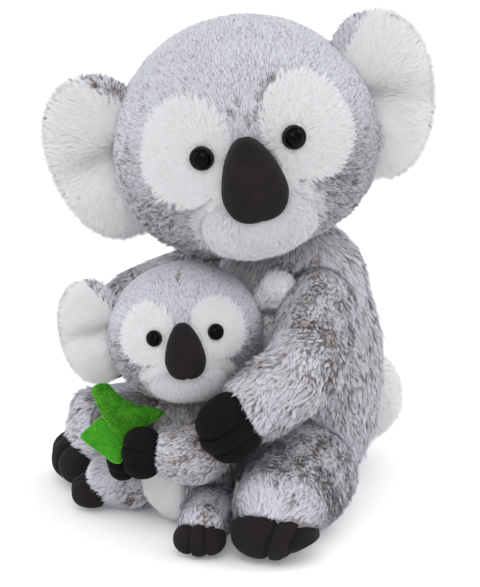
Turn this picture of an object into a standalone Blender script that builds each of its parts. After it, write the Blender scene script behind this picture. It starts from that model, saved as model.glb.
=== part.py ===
"""A plush koala that sits with a baby koala in its lap, the baby holding a cloth leaf.

The mother faces -Y, her left side is +X and her seat rests on z = 0. Each sewn piece is its
own object. A larger piece cuts the smaller ones beside it, with a seam gap between them, and
every limb that turns has a round root in a round socket.
"""

import math

import bmesh
import bpy
from mathutils import Matrix, Vector

# Clearances and the thickness of fabric pads
SEAM_GAP = 0.0004
SWING_GAP = 0.0012
TURN_GAP = 0.0009
LEAF_GAP = 0.0008
FLOOR_GAP = 0.0005
OVERRUN = 0.004

# Mother: body
BELLY_HEIGHT = 0.044
BELLY_RADIUS = 0.055
BELLY_BACK = 0.017
WAIST_HEIGHT = 0.088
WAIST_RADIUS = 0.055
WAIST_SIDE = 0.0035
WAIST_BACK = 0.019
NECK_HEIGHT = 0.128
NECK_RADIUS = 0.049
NECK_SIDE = 0.006
NECK_BACK = 0.0155
BELLY_WIDTH_SHARE = 1.12
WAIST_WIDTH_SHARE = 1.07

# Mother: base panel and the bag of pellets above it
PANEL_HALF_WIDTH = 0.030
PANEL_HALF_DEPTH = 0.026
PANEL_THICKNESS = 0.002
BAG_HALF_WIDTH = 0.020
BAG_HALF_DEPTH = 0.022
BAG_HALF_HEIGHT = 0.009

# Mother: chest fur
BIB_SIDE = 0.003
BIB_FORWARD = 0.030
BIB_DROP = 0.002
BIB_HALF_WIDTH = 0.034
BIB_HALF_HEIGHT = 0.028
BIB_THICKNESS = 0.004

# Mother: head
HEAD_CENTRE = (-0.0035, -0.0160, 0.2325)
HEAD_TURN = math.radians(50)
HEAD_TILT = math.radians(12)
HEAD_HALF_WIDTH = 0.0815
HEAD_HALF_DEPTH = 0.068
HEAD_HALF_HEIGHT = 0.073
CHEEK_SHARE = 0.11

# Mother: face
PATCH_SIDE = 0.0365
PATCH_HEIGHT = 0.018
PATCH_HALF_WIDTH = 0.0265
PATCH_HALF_HEIGHT = 0.035
PATCH_LEAN = math.radians(14)
PATCH_THICKNESS = 0.0035
MUZZLE_FORWARD = 0.050
MUZZLE_DROP = 0.030
MUZZLE_HALF_WIDTH = 0.038
MUZZLE_HALF_DEPTH = 0.026
MUZZLE_HALF_HEIGHT = 0.026
NOSE_FORWARD = 0.071
NOSE_DROP = 0.0035
NOSE_HALF_WIDTH = 0.0205
NOSE_HALF_DEPTH = 0.012
NOSE_HALF_HEIGHT = 0.0265
EYE_SIDE = 0.028
EYE_HEIGHT = 0.0158
EYE_RADIUS = 0.0075
EYE_SHANK_RADIUS = 0.0022
EYE_SHANK_LENGTH = 0.013
WASHER_RADIUS = 0.0085
WASHER_THICKNESS = 0.0016
WASHER_DEPTH = 0.009

# Mother: ears
EAR_OUT = 0.001
EAR_HEIGHT = 0.0025
EAR_BACK = 0.010
EAR_LEAN = math.radians(9)
EAR_HALF_WIDTH = 0.035
EAR_HALF_HEIGHT = 0.0535
EAR_HALF_THICKNESS = 0.011
LINING_SHARE = 0.86
LINING_SHIFT_SHARE = 0.13
EAR_ROOT_RADIUS = 0.008
EAR_ROOT_HALF_LENGTH = 0.026
EAR_CLEARANCE = 0.0038
LINING_THICKNESS = 0.004

# Mother: arms
SHOULDER_SIDE = 0.042
SHOULDER_BACK = 0.002
SHOULDER_HEIGHT = 0.136
SHOULDER_RADIUS = 0.022
LEFT_ELBOW = (0.075, -0.045, 0.112)
LEFT_WRIST = (0.065, -0.076, 0.092)
RIGHT_ELBOW = (-0.070, -0.036, 0.112)
RIGHT_WRIST = (-0.066, -0.056, 0.101)
ELBOW_RADIUS = 0.0255
WRIST_RADIUS = 0.0245
SHOULDER_SHARE = 0.12
SHOULDER_TAPER = 0.91
PAW_HALF_WIDTH = 0.0215
PAW_HALF_LENGTH = 0.021
PAW_HALF_THICKNESS = 0.0155
PAW_REACH = 0.019

# Mother: legs
HIP_SIDE = 0.043
HIP_BACK = 0.002
HIP_HEIGHT = 0.036
HIP_RADIUS = 0.0275
LEFT_LEG_SPLAY = math.radians(27)
LEFT_LEG_LENGTH = 0.081
RIGHT_LEG_SPLAY = math.radians(36)
RIGHT_LEG_LENGTH = 0.075
THIGH_SHARE = 0.25
THIGH_RADIUS = 0.0325
ANKLE_RADIUS = 0.0305
FOOT_HALF_WIDTH = 0.027
FOOT_HALF_LENGTH = 0.021
FOOT_HALF_HEIGHT = 0.0155
FOOT_REACH = 0.0065

# How far each limb swings
ARM_SWING = math.radians(35)
LEG_SWING = math.radians(20)
TAIL_SWING = math.radians(12)
BABY_NOD = math.radians(10)
BABY_ARM_SWING = math.radians(15)
SWING_SHARES = (0.5, 1)
BABY_LEG_SWING = math.radians(15)

# Mother: tail
TAIL_HEIGHT = 0.042
TAIL_OUT = 0.010
TAIL_HALF_WIDTH = 0.026
TAIL_HALF_DEPTH = 0.024
TAIL_HALF_HEIGHT = 0.027
TAIL_ROOT_RADIUS = 0.014

# Baby: body
BABY_BACK = -0.066
BABY_BELLY_HEIGHT = 0.024
BABY_BELLY_RADIUS = 0.029
BABY_CHEST_HEIGHT = 0.068
BABY_CHEST_RADIUS = 0.021
BABY_WIDTH_SHARE = 1.06
BABY_PANEL_HALF_WIDTH = 0.017
BABY_PANEL_HALF_HEIGHT = 0.030
BABY_PANEL_THICKNESS = 0.0025

# Baby: head
BABY_HEAD_CENTRE = (-0.002, -0.067, 0.120)
BABY_HEAD_TURN = math.radians(45)
BABY_HEAD_TILT = math.radians(6)
BABY_HEAD_HALF_WIDTH = 0.048
BABY_HEAD_RADIUS = 0.0435

# Baby: face
BABY_PATCH_SIDE = 0.0225
BABY_PATCH_HEIGHT = 0.014
BABY_PATCH_HALF_WIDTH = 0.0145
BABY_PATCH_HALF_HEIGHT = 0.0165
BABY_PATCH_LEAN = math.radians(12)
BABY_PATCH_THICKNESS = 0.0025
BABY_MUZZLE_FORWARD = 0.030
BABY_MUZZLE_DROP = 0.017
BABY_MUZZLE_HALF_WIDTH = 0.0245
BABY_MUZZLE_HALF_DEPTH = 0.016
BABY_MUZZLE_HALF_HEIGHT = 0.0155
BABY_NOSE_FORWARD = 0.044
BABY_NOSE_DROP = -0.004
BABY_NOSE_HALF_WIDTH = 0.0125
BABY_NOSE_HALF_DEPTH = 0.008
BABY_NOSE_HALF_HEIGHT = 0.0175
BABY_EYE_SIDE = 0.019
BABY_EYE_HEIGHT = 0.012
BABY_EYE_RADIUS = 0.005
BABY_EYE_SHANK_RADIUS = 0.0016
BABY_EYE_SHANK_LENGTH = 0.010
BABY_WASHER_RADIUS = 0.0058
BABY_WASHER_THICKNESS = 0.0014
BABY_WASHER_DEPTH = 0.0065

# Baby: ears
BABY_EAR_OUT = 0.0065
BABY_EAR_HEIGHT = 0.005
BABY_EAR_BACK = 0.004
BABY_EAR_LEAN = math.radians(6)
BABY_EAR_HALF_WIDTH = 0.021
BABY_EAR_HALF_HEIGHT = 0.0335
BABY_EAR_HALF_THICKNESS = 0.0075
BABY_EAR_ROOT_RADIUS = 0.0055
BABY_EAR_ROOT_HALF_LENGTH = 0.015
BABY_EAR_CLEARANCE = 0.0022
BABY_LINING_THICKNESS = 0.003

# Baby: arms
BABY_SHOULDER_SIDE = 0.019
BABY_SHOULDER_HEIGHT = 0.072
BABY_SHOULDER_RADIUS = 0.0125
BABY_LEFT_ELBOW = (0.036, -0.091, 0.060)
BABY_LEFT_WRIST = (0.0225, -0.106, 0.060)
BABY_RIGHT_ELBOW = (-0.032, -0.090, 0.062)
BABY_RIGHT_WRIST = (-0.023, -0.099, 0.056)
BABY_ELBOW_RADIUS = 0.0195
BABY_WRIST_RADIUS = 0.0175
BABY_PAW_HALF_WIDTH = 0.0165
BABY_PAW_HALF_LENGTH = 0.013
BABY_PAW_HALF_THICKNESS = 0.0105
BABY_PAW_REACH = 0.0155

# Baby: legs
BABY_HIP_SIDE = 0.0215
BABY_HIP_HEIGHT = 0.018
BABY_HIP_RADIUS = 0.012
BABY_LEFT_LEG_SPLAY = math.radians(34)
BABY_LEFT_LEG_LENGTH = 0.040
BABY_RIGHT_LEG_SPLAY = math.radians(56)
BABY_RIGHT_LEG_LENGTH = 0.038
BABY_THIGH_RADIUS = 0.0175
BABY_ANKLE_RADIUS = 0.0165
BABY_FOOT_HALF_WIDTH = 0.0162
BABY_FOOT_HALF_LENGTH = 0.013
BABY_FOOT_HALF_HEIGHT = 0.0105
BABY_FOOT_REACH = 0.006

# Leaf: two sewn panels that meet at a seam, held against the baby's left paw
LEAF_CENTRE = (-0.010, -0.120, 0.074)
LEAF_TURN = math.radians(45)
LEAF_TILT = math.radians(-20)
LEAF_HALF_WIDTH = 0.024
LEAF_HALF_HEIGHT = 0.024
LEAF_THICKNESS = 0.003

# Outlines of the leaf's two panels, in shares of its half width and half height
UPPER_LEAF_SHARES = (
    (-0.52, 0.78), (-0.45, 0.92), (-0.27, 0.98), (-0.12, 0.95), (0.10, 0.72), (0.50, 0.45),
    (1.26, 0.27), (0.73, -0.12), (0.23, -0.45), (-0.04, -0.15), (-0.25, 0.17), (-0.38, 0.45),
)
LOWER_LEAF_SHARES = (
    (-0.27, 0.155), (-0.53, -0.05), (-0.78, -0.29), (-0.74, -0.43), (-0.35, -0.72), (0, -0.98),
    (0.20, -0.97), (0.25, -0.72), (0.215, -0.465), (-0.058, -0.164),
)

# Solvers: the exact one loses faces where a cutter runs side by side with a piece's own skin
CROSSING = "EXACT"
FITTED = "MANIFOLD"

# How round the forms are, and how finely they are faceted
HEAD_POWER = 2.15
PAD_POWER = 2.3
EAR_POWER = 2.2
BLUNT_DOME_SHARE = 0.6
SMOOTH_ANGLE = math.radians(40)
FLAT_ANGLE = math.radians(0.6)
WELD_DISTANCE = 0.00001
SHARP_TURN = math.radians(90)


def clear_scene():
    for item in list(bpy.data.objects):
        bpy.data.objects.remove(item, do_unlink=True)


def material(name, colour, roughness):
    """A plain material of the given colour."""
    made = bpy.data.materials.new(name)
    made.use_nodes = True
    shader = made.node_tree.nodes["Principled BSDF"]
    shader.inputs["Base Color"].default_value = (*colour, 1)
    shader.inputs["Roughness"].default_value = roughness
    shader.inputs["Metallic"].default_value = 0
    return made


def frame_at(centre, turn=0, tilt=0):
    """A place turned about the vertical and then leaned so that its +X side rises."""
    return (
        Matrix.Translation(centre)
        @ Matrix.Rotation(turn, 4, "Z")
        @ Matrix.Rotation(-tilt, 4, "Y")
    )


def facing(point, outward, upright=Vector((0, 0, 1))):
    """A place at a point whose +Z runs outward and whose +Y stays as upright as it can."""
    normal = Vector(outward).normalized()
    across = upright.cross(normal).normalized()
    rise = normal.cross(across)
    turn = Matrix((across, rise, normal)).transposed().to_4x4()
    return Matrix.Translation(point) @ turn


class Form:
    """A closed shape that can be made again a little larger, to cut the pieces beside it."""

    def __init__(self, make, place=None):
        self.make = make
        self.place = place or Matrix()

    def mesh(self, grow=0):
        shape = bmesh.new()
        self.make(shape, grow)
        bmesh.ops.transform(shape, matrix=self.place, verts=shape.verts)
        bmesh.ops.triangulate(shape, faces=shape.faces, quad_method="FIXED")
        bmesh.ops.recalc_face_normals(shape, faces=shape.faces)
        mesh = bpy.data.meshes.new("form")
        shape.to_mesh(mesh)
        shape.free()
        return mesh


def egg(half, segments, rings, power=2, cheek_share=0):
    """An egg with the given half sizes: a power above 2 squares it, cheeks widen its low part."""

    def make(shape, grow):
        size = [value + grow for value in half]
        bmesh.ops.create_uvsphere(shape, u_segments=segments, v_segments=rings, radius=1)
        for vert in shape.verts:
            spread = sum(abs(vert.co[i] / size[i]) ** power for i in range(3))
            vert.co *= spread ** (-1 / power)
            vert.co.x *= 1 - cheek_share * vert.co.z / size[2]

    return make


def egg_reach(half, power, side, height):
    """How far an egg's surface lies along its depth, at a place across and up."""
    left = 1 - abs(side / half[0]) ** power - abs(height / half[2]) ** power
    return half[1] * left ** (1 / power)


def curve_value(values, at):
    """A smooth curve through evenly spaced values, read at a place from 0 to the last one."""
    last = len(values) - 1
    index = min(int(at), last - 1)
    part = at - index
    before = values[max(index - 1, 0)]
    start = values[index]
    end = values[index + 1]
    after = values[min(index + 2, last)]
    slope_in = (end - before) / 2
    slope_out = (after - start) / 2
    square = part * part
    cube = part * part * part
    return (
        start * (2 * cube - 3 * square + 1)
        + slope_in * (cube - 2 * square + part)
        + end * (3 * square - 2 * cube)
        + slope_out * (cube - square)
    )


def close_loops(shape, loops, first, last):
    """Faces between equal loops of points, and a fan from the point at each end."""
    count = len(loops[0])
    for low, high in zip(loops, loops[1:]):
        for i in range(count):
            shape.faces.new((low[i], low[i - 1], high[i - 1], high[i]))
    for i in range(count):
        shape.faces.new((first, loops[0][i - 1], loops[0][i]))
        shape.faces.new((last, loops[-1][i], loops[-1][i - 1]))


def limb(stations, across, segments, steps, dome_steps=3, dome_share=1):
    """A form that swells and tapers along a smooth curve through stations, with domed ends.

    A station is a point, a radius and how much wider than deep the form is there.
    """
    points = [Vector(station[0]) for station in stations]
    radii = [station[1] for station in stations]
    widths = [station[2] for station in stations]

    def place(at):
        return curve_value(points, at)

    def make(shape, grow):
        last = len(stations) - 1
        ahead = last / (steps * steps)
        rows = []
        for k in range(dome_steps):
            lean = SHARP_TURN * (dome_steps - k) / (dome_steps + 1)
            rows.append((0, -math.sin(lean), math.cos(lean), 1))
        rows += [(last * k / steps, 0, 1, 1) for k in range(steps + 1)]
        for k in range(dome_steps):
            lean = SHARP_TURN * (k + 1) / (dome_steps + 1)
            rows.append((last, math.sin(lean), math.cos(lean), dome_share))
        loops = []
        for at, push, ring, share in rows:
            tangent = (place(min(at + ahead, last)) - place(max(at - ahead, 0))).normalized()
            side = (Vector(across) - tangent * tangent.dot(Vector(across))).normalized()
            up = tangent.cross(side)
            radius = curve_value(radii, at) + grow
            width = radius * curve_value(widths, at)
            centre = place(at) + tangent * radius * push * share
            loop = []
            for i in range(segments):
                turn = 2 * math.pi * i / segments
                offset = side * width * math.cos(turn) + up * radius * math.sin(turn)
                loop.append(shape.verts.new(centre + offset * ring))
            loops.append(loop)
        start = (place(ahead) - place(0)).normalized()
        end = (place(last) - place(last - ahead)).normalized()
        first = shape.verts.new(place(0) - start * (radii[0] + grow))
        tip = shape.verts.new(place(last) + end * (radii[-1] + grow) * dome_share)
        close_loops(shape, loops, first, tip)

    return make


def turned(profile, segments):
    """A body turned about Z from an outline of (radius, height) that starts and ends at Z."""

    def make(shape, grow):
        loops = []
        for radius, height in profile[1:-1]:
            loop = []
            for i in range(segments):
                turn = 2 * math.pi * i / segments
                wide = radius + grow
                loop.append(shape.verts.new((wide * math.cos(turn), wide * math.sin(turn), height)))
            loops.append(loop)
        first = shape.verts.new((0, 0, profile[0][1]))
        last = shape.verts.new((0, 0, profile[-1][1]))
        close_loops(shape, loops, first, last)

    return make


def solid(name, mesh, colour):
    """An object with a mesh of its own and one material."""
    made = bpy.data.objects.new(name, mesh)
    bpy.context.scene.collection.objects.link(made)
    mesh.name = name
    mesh.materials.clear()
    mesh.materials.append(colour)
    return made


def combine(piece, mesh, operation, solver=CROSSING):
    """Cut, join or meet a piece with another mesh, and keep the result."""
    tool = bpy.data.objects.new("tool", mesh)
    bpy.context.scene.collection.objects.link(tool)
    step = piece.modifiers.new("step", "BOOLEAN")
    step.operation = operation
    step.solver = solver
    step.object = tool
    graph = bpy.context.evaluated_depsgraph_get()
    result = bpy.data.meshes.new_from_object(piece.evaluated_get(graph))
    piece.modifiers.clear()
    old = piece.data
    piece.data = result
    bpy.data.meshes.remove(old)
    bpy.data.objects.remove(tool, do_unlink=True)
    bpy.data.meshes.remove(mesh)


def cut(piece, forms, gap=SEAM_GAP, solver=CROSSING):
    """Cut a piece by larger forms, each made larger still by the gap."""
    for form in forms:
        combine(piece, form.mesh(gap), "DIFFERENCE", solver)


def cut_flat(piece, height):
    """Cut a piece flat where it would reach below a height."""
    shape = bmesh.new()
    shape.from_mesh(piece.data)
    split = bmesh.ops.bisect_plane(
        shape,
        geom=shape.verts[:] + shape.edges[:] + shape.faces[:],
        plane_co=(0, 0, height),
        plane_no=(0, 0, -1),
        clear_outer=True,
    )
    rim = [item for item in split["geom_cut"] if isinstance(item, bmesh.types.BMEdge)]
    if rim:
        bmesh.ops.edgenet_fill(shape, edges=rim)
    bmesh.ops.recalc_face_normals(shape, faces=shape.faces)
    shape.to_mesh(piece.data)
    shape.free()


def keep_main_body(piece):
    """Drop crumbs that a cut left beside a piece's main body."""
    shape = bmesh.new()
    shape.from_mesh(piece.data)
    left = set(shape.verts)
    islands = []
    while left:
        edge_of_search = [left.pop()]
        island = set(edge_of_search)
        while edge_of_search:
            vert = edge_of_search.pop()
            for edge in vert.link_edges:
                other = edge.other_vert(vert)
                if other in left:
                    left.remove(other)
                    island.add(other)
                    edge_of_search.append(other)
        islands.append(island)
    islands.sort(key=len)
    for island in islands[:-1]:
        bmesh.ops.delete(shape, geom=list(island), context="VERTS")
    shape.to_mesh(piece.data)
    shape.free()


def pad(name, host, column, thickness, colour):
    """A fabric pad of even thickness over a host form, inside a column's outline."""
    piece = solid(name, host.mesh(thickness), colour)
    combine(piece, column.mesh(), "INTERSECT", FITTED)
    cut(piece, [host], solver=FITTED)
    keep_main_body(piece)
    return piece


def pivot(name, point, turn=0, tilt=0):
    """An empty on a joint's axis, which is its Z."""
    made = bpy.data.objects.new(name, None)
    bpy.context.scene.collection.objects.link(made)
    made.matrix_world = frame_at(point, turn, tilt)
    return made


def hang(pieces, carrier):
    """Put the pieces' origins on their joint and parent them to it."""
    place = carrier.matrix_world.copy()
    for piece in pieces:
        piece.data.transform(place.inverted())
        piece.parent = carrier


def merge_flat_faces(piece):
    """Merge the slivers that a cut leaves in what is one flat facet."""
    shape = bmesh.new()
    shape.from_mesh(piece.data)
    bmesh.ops.remove_doubles(shape, verts=shape.verts, dist=WELD_DISTANCE)
    bmesh.ops.dissolve_degenerate(shape, dist=WELD_DISTANCE, edges=shape.edges)
    bmesh.ops.dissolve_limit(
        shape, angle_limit=FLAT_ANGLE, verts=shape.verts, edges=shape.edges, delimit={"SHARP"}
    )
    bmesh.ops.triangulate(shape, faces=shape.faces)
    shape.to_mesh(piece.data)
    shape.free()


def finish(pieces):
    """Smooth the shading of the round faces."""
    for piece in pieces:
        merge_flat_faces(piece)
        piece.data.shade_smooth()
        piece.data.set_sharp_from_angle(angle=SMOOTH_ANGLE)


def mirrored(point, side):
    """A point given for the left side, on the side that is asked for."""
    return Vector((point[0] * side, point[1], point[2]))


class Head:
    """A koala's head and everything sewn to it, all in one leaning frame."""

    def __init__(self, name, centre, turn, tilt, half, power, cheek, facets):
        self.name = name
        self.place = frame_at(centre, turn, tilt)
        self.half = half
        self.power = power
        self.form = Form(egg(half, *facets, power, cheek), self.place)

    def label(self, piece):
        return f"{self.name}_{piece}"

    def surface(self, side, height, proud=0):
        """A place on the head's front, with +Z outward, in world space."""
        depth = egg_reach(self.half, self.power, side, height)
        power = self.power
        slope = Vector((
            math.copysign(abs(side / self.half[0]) ** (power - 1), side) / self.half[0],
            -((depth / self.half[1]) ** (power - 1)) / self.half[1],
            math.copysign(abs(height / self.half[2]) ** (power - 1), height) / self.half[2],
        )).normalized()
        local = facing(Vector((side, -depth, height)) + slope * proud, slope)
        return self.place @ local


def eye_pieces(head, side_name, side, height, sizes, pad_thickness, colours):
    """A domed eye on a shank, its washer, and the forms that cut their seats."""
    radius, shank, length, ring, thick, deep = sizes
    place = head.surface(side, height, pad_thickness)
    seat = -pad_thickness / 2
    dome = radius / 2
    arcs = 3
    outline = [(0, -length), (shank, -length), (shank, seat), (radius, seat)]
    for k in range(1, arcs):
        lean = SHARP_TURN * k / arcs
        outline.append((radius * math.cos(lean), seat + (dome + pad_thickness) * math.sin(lean)))
    outline.append((0, seat + dome + pad_thickness))
    eye_form = Form(turned(outline, 12), place)
    eye = solid(head.label(f"eye_{side_name}"), eye_form.mesh(), colours["eye"])
    bore = shank + SEAM_GAP
    hold = ring + SEAM_GAP
    top = -deep
    low = top - thick
    washer_outline = [(0, low), (ring, low), (ring, top), (0, top)]
    washer_form = Form(turned(washer_outline, 12), place)
    washer = solid(head.label(f"eye_washer_{side_name}"), washer_form.mesh(), colours["washer"])
    bore_outline = [(0, low - OVERRUN), (bore, low - OVERRUN), (bore, top + OVERRUN), (0, top + OVERRUN)]
    combine(washer, Form(turned(bore_outline, 8), place).mesh(), "DIFFERENCE")
    pocket_low = min(low, -length) - SEAM_GAP
    pocket = [
        (0, pocket_low), (hold, pocket_low), (hold, top + SEAM_GAP), (bore, top + SEAM_GAP),
        (bore, OVERRUN), (0, OVERRUN),
    ]
    rim = radius + SEAM_GAP
    saucer = [
        (0, top), (bore, top), (bore, seat - SEAM_GAP), (rim, seat - SEAM_GAP),
        (rim, OVERRUN), (0, OVERRUN),
    ]
    combine(head.piece, Form(turned(pocket, 12), place).mesh(), "DIFFERENCE")
    return eye, washer, Form(turned(saucer, 12), place)


def face(head, patch, muzzle, nose, eye, eye_at, colours):
    """The two eye patches, the muzzle, the nose and the eyes, which the head carries."""
    forward, drop, half = muzzle
    muzzle_form = Form(egg(half, 14, 9, PAD_POWER), head.place @ Matrix.Translation((0, -forward, -drop)))
    muzzle_piece = solid(head.label("muzzle"), muzzle_form.mesh(), colours["white"])
    cut(muzzle_piece, [head.form], solver=FITTED)
    keep_main_body(muzzle_piece)
    patch_side, patch_height, half_width, half_height, lean, thickness = patch
    pieces = [muzzle_piece]
    forward, drop, half = nose
    nose_form = Form(egg(half, 12, 8, PAD_POWER), head.place @ Matrix.Translation((0, -forward, -drop)))
    nose_piece = solid(head.label("nose"), nose_form.mesh(), colours["suede"])
    cut(nose_piece, [head.form, muzzle_form], solver=FITTED)
    for side_name, side in (("right", -1), ("left", 1)):
        place = head.surface(patch_side * side, patch_height)
        place = place @ Matrix.Rotation(lean * side, 4, "Z")
        column = Form(egg((half_width, half_height, half_height), 14, 6, PAD_POWER), place)
        piece = pad(head.label(f"eye_patch_{side_name}"), head.form, column, thickness, colours["white"])
        cut(piece, [muzzle_form], solver=FITTED)
        combine(nose_piece, patch_keepout(head, column, thickness), "DIFFERENCE", FITTED)
        at_side, at_height = eye_at
        eye_piece, washer, saucer = eye_pieces(
            head, side_name, at_side * side, at_height, eye, thickness, colours
        )
        combine(piece, saucer.mesh(), "DIFFERENCE", FITTED)
        keep_main_body(piece)
        pieces += [piece, eye_piece, washer]
    keep_main_body(nose_piece)
    pieces.append(nose_piece)
    return pieces


def patch_keepout(head, column, thickness):
    """The space of one eye patch and the seam round it."""
    space = solid("space", head.form.mesh(thickness + SEAM_GAP), None)
    combine(space, column.mesh(SEAM_GAP), "INTERSECT", FITTED)
    mesh = space.data.copy()
    old = space.data
    bpy.data.objects.remove(space, do_unlink=True)
    bpy.data.meshes.remove(old)
    return mesh


def ear(head, side_name, side, sizes, root, clearance, lining, colours, beside=()):
    """An ear of a back and a fluffy lining, which folds about a round root in the head's side."""
    out, height, back, half_width, half_height, half_thickness, lean = sizes
    root_radius, root_half = root
    centre = Vector(((head.half[0] + out) * side, back, height))
    place = head.place @ Matrix.Translation(centre) @ Matrix.Rotation(lean * side, 4, "Y")
    form = Form(egg((half_width, half_thickness, half_height), 14, 8, EAR_POWER), place)
    piece = solid(head.label(f"ear_back_{side_name}"), form.mesh(), colours["grey"])
    cut(piece, [head.form], clearance, FITTED)
    seat = Vector(((head.half[0] - root_radius / 2) * side, back, height))
    ends = [seat - Vector((0, 0, root_half)), seat, seat + Vector((0, 0, root_half))]
    stations = [(end, root_radius, 1) for end in ends]
    root_form = Form(limb(stations, (1, 0, 0), 10, 2, dome_steps=2), head.place)
    combine(piece, root_form.mesh(), "UNION", FITTED)
    cut(head.piece, [root_form], TURN_GAP)
    cut(piece, beside, SWING_GAP + BIB_THICKNESS, FITTED)
    keep_main_body(piece)
    front = place @ Matrix.Translation((half_width * side * LINING_SHIFT_SHARE, -half_thickness, 0))
    lining_half = (half_width * LINING_SHARE, half_width, half_height * LINING_SHARE)
    column = Form(egg(lining_half, 14, 6, EAR_POWER), front)
    fur = solid(head.label(f"ear_lining_{side_name}"), form.mesh(lining), colours["white"])
    combine(fur, column.mesh(), "INTERSECT", FITTED)
    cut(fur, [form], solver=FITTED)
    cut(fur, [head.form], clearance, FITTED)
    cut(fur, beside, SWING_GAP + BIB_THICKNESS, FITTED)
    cut(fur, [root_form], solver=FITTED)
    keep_main_body(fur)
    return [piece, fur], head.place @ seat


def ball(centre, radius, segments=14, rings=8):
    return Form(egg((radius, radius, radius), segments, rings), Matrix.Translation(centre))


def swung(form, point, angle, axis="Z"):
    """A form turned back about an axis through a point, as a limb there meets it when it swings."""
    place = Vector(point)
    turn = Matrix.Translation(place) @ Matrix.Rotation(-angle, 4, axis) @ Matrix.Translation(-place)
    return Form(form.make, turn @ form.place)


def root_limb(name, form, root, body, point, swing, colour):
    """A limb whose round root sits in a socket of the body, and whose skin clears the body."""
    piece = solid(name, form.mesh(), colour)
    cut(piece, [body, swung(body, point, swing)], SWING_GAP, FITTED)
    keep_main_body(piece)
    combine(piece, root.mesh(), "UNION", FITTED)
    return piece


def mother_torso(colours):
    """The torso with its neck dome, and its form."""
    stations = [
        ((0, BELLY_BACK, BELLY_HEIGHT), BELLY_RADIUS, BELLY_WIDTH_SHARE),
        ((WAIST_SIDE, WAIST_BACK, WAIST_HEIGHT), WAIST_RADIUS, WAIST_WIDTH_SHARE),
        ((NECK_SIDE, NECK_BACK, NECK_HEIGHT), NECK_RADIUS, 1),
    ]
    form = Form(limb(stations, (1, 0, 0), 20, 5, dome_steps=3))
    piece = solid("torso", form.mesh(), colours["grey"])
    cut_flat(piece, 0)
    return piece, form


def base_fill(torso, colours):
    """The base panel and the bag of pellets behind it, in a pocket of the torso."""
    floor = Matrix.Translation((0, BELLY_BACK, 0))

    def disc(half_width, half_depth, low, high):
        def make(shape, grow):
            turned([(0, low), (1, low), (1, high), (0, high)], 20)(shape, 0)
            for vert in shape.verts:
                vert.co.x *= half_width + grow
                vert.co.y *= half_depth + grow
        return Form(make, floor)

    recess_top = PANEL_THICKNESS + SEAM_GAP
    bag_centre = recess_top + SEAM_GAP + BAG_HALF_HEIGHT
    bag_half = (BAG_HALF_WIDTH, BAG_HALF_DEPTH, BAG_HALF_HEIGHT)
    bag_form = Form(egg(bag_half, 14, 8, PAD_POWER), floor @ Matrix.Translation((0, 0, bag_centre)))
    panel_form = disc(PANEL_HALF_WIDTH, PANEL_HALF_DEPTH, 0, PANEL_THICKNESS)
    panel = solid("seat_panel", panel_form.mesh(), colours["grey"])
    bag = solid("pellet_bag", bag_form.mesh(), colours["bag"])
    cut(torso, [disc(PANEL_HALF_WIDTH, PANEL_HALF_DEPTH, -OVERRUN, recess_top)])
    cut(torso, [disc(BAG_HALF_WIDTH, BAG_HALF_DEPTH, 0, bag_centre), bag_form], solver=FITTED)
    return [panel, bag]


def mother_head(colours):
    """The head, with its recess over the neck dome."""
    half = (HEAD_HALF_WIDTH, HEAD_HALF_DEPTH, HEAD_HALF_HEIGHT)
    head = Head("head", HEAD_CENTRE, HEAD_TURN, HEAD_TILT, half, HEAD_POWER, CHEEK_SHARE, (20, 12))
    head.piece = solid("head", head.form.mesh(), colours["grey"])
    return head


def arm_forms(side):
    """The root, the arm and the paw of one of the mother's arms."""
    shoulder = mirrored((SHOULDER_SIDE, SHOULDER_BACK, SHOULDER_HEIGHT), side)
    elbow = Vector(LEFT_ELBOW if side > 0 else RIGHT_ELBOW)
    wrist = Vector(LEFT_WRIST if side > 0 else RIGHT_WRIST)
    start = shoulder.lerp(elbow, SHOULDER_SHARE)
    stations = [
        (start, SHOULDER_RADIUS * SHOULDER_TAPER, 1),
        (elbow, ELBOW_RADIUS, 1),
        (wrist, WRIST_RADIUS, 1),
    ]
    form = Form(limb(stations, (0, 0, 1), 12, 5, dome_share=BLUNT_DOME_SHARE))
    onward = (wrist - elbow).normalized()
    place = facing(wrist + onward * PAW_REACH, onward)
    paw = Form(egg((PAW_HALF_THICKNESS, PAW_HALF_WIDTH, PAW_HALF_LENGTH), 12, 8, PAD_POWER), place)
    return shoulder, ball(shoulder, SHOULDER_RADIUS), form, paw


def leg_forms(side, hip, splay, length, radii, foot_half, foot_reach):
    """The root, the leg and the foot of one leg, lying on the floor and pointing outward."""
    hip_radius, thigh_radius, ankle_radius = radii
    start = mirrored(hip, side)
    onward = Vector((math.sin(splay) * side, -math.cos(splay), 0))
    thigh_at = start + onward * length * THIGH_SHARE
    thigh_at.z = thigh_radius + FLOOR_GAP
    ankle_at = start + onward * length
    ankle_at.z = ankle_radius + FLOOR_GAP
    stations = [
        (start, hip_radius * BLUNT_DOME_SHARE, 1),
        (thigh_at, thigh_radius, 1),
        (ankle_at, ankle_radius, 1),
    ]
    form = Form(limb(stations, (0, 0, 1), 12, 5, dome_share=BLUNT_DOME_SHARE))
    foot_at = ankle_at + onward * foot_reach
    foot_at.z = foot_half[2] + FLOOR_GAP
    place = facing(foot_at, Vector((0, 0, 1)), upright=onward)
    foot = Form(egg(foot_half, 12, 8, PAD_POWER), place)
    return start, ball(start, hip_radius), form, foot


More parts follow.
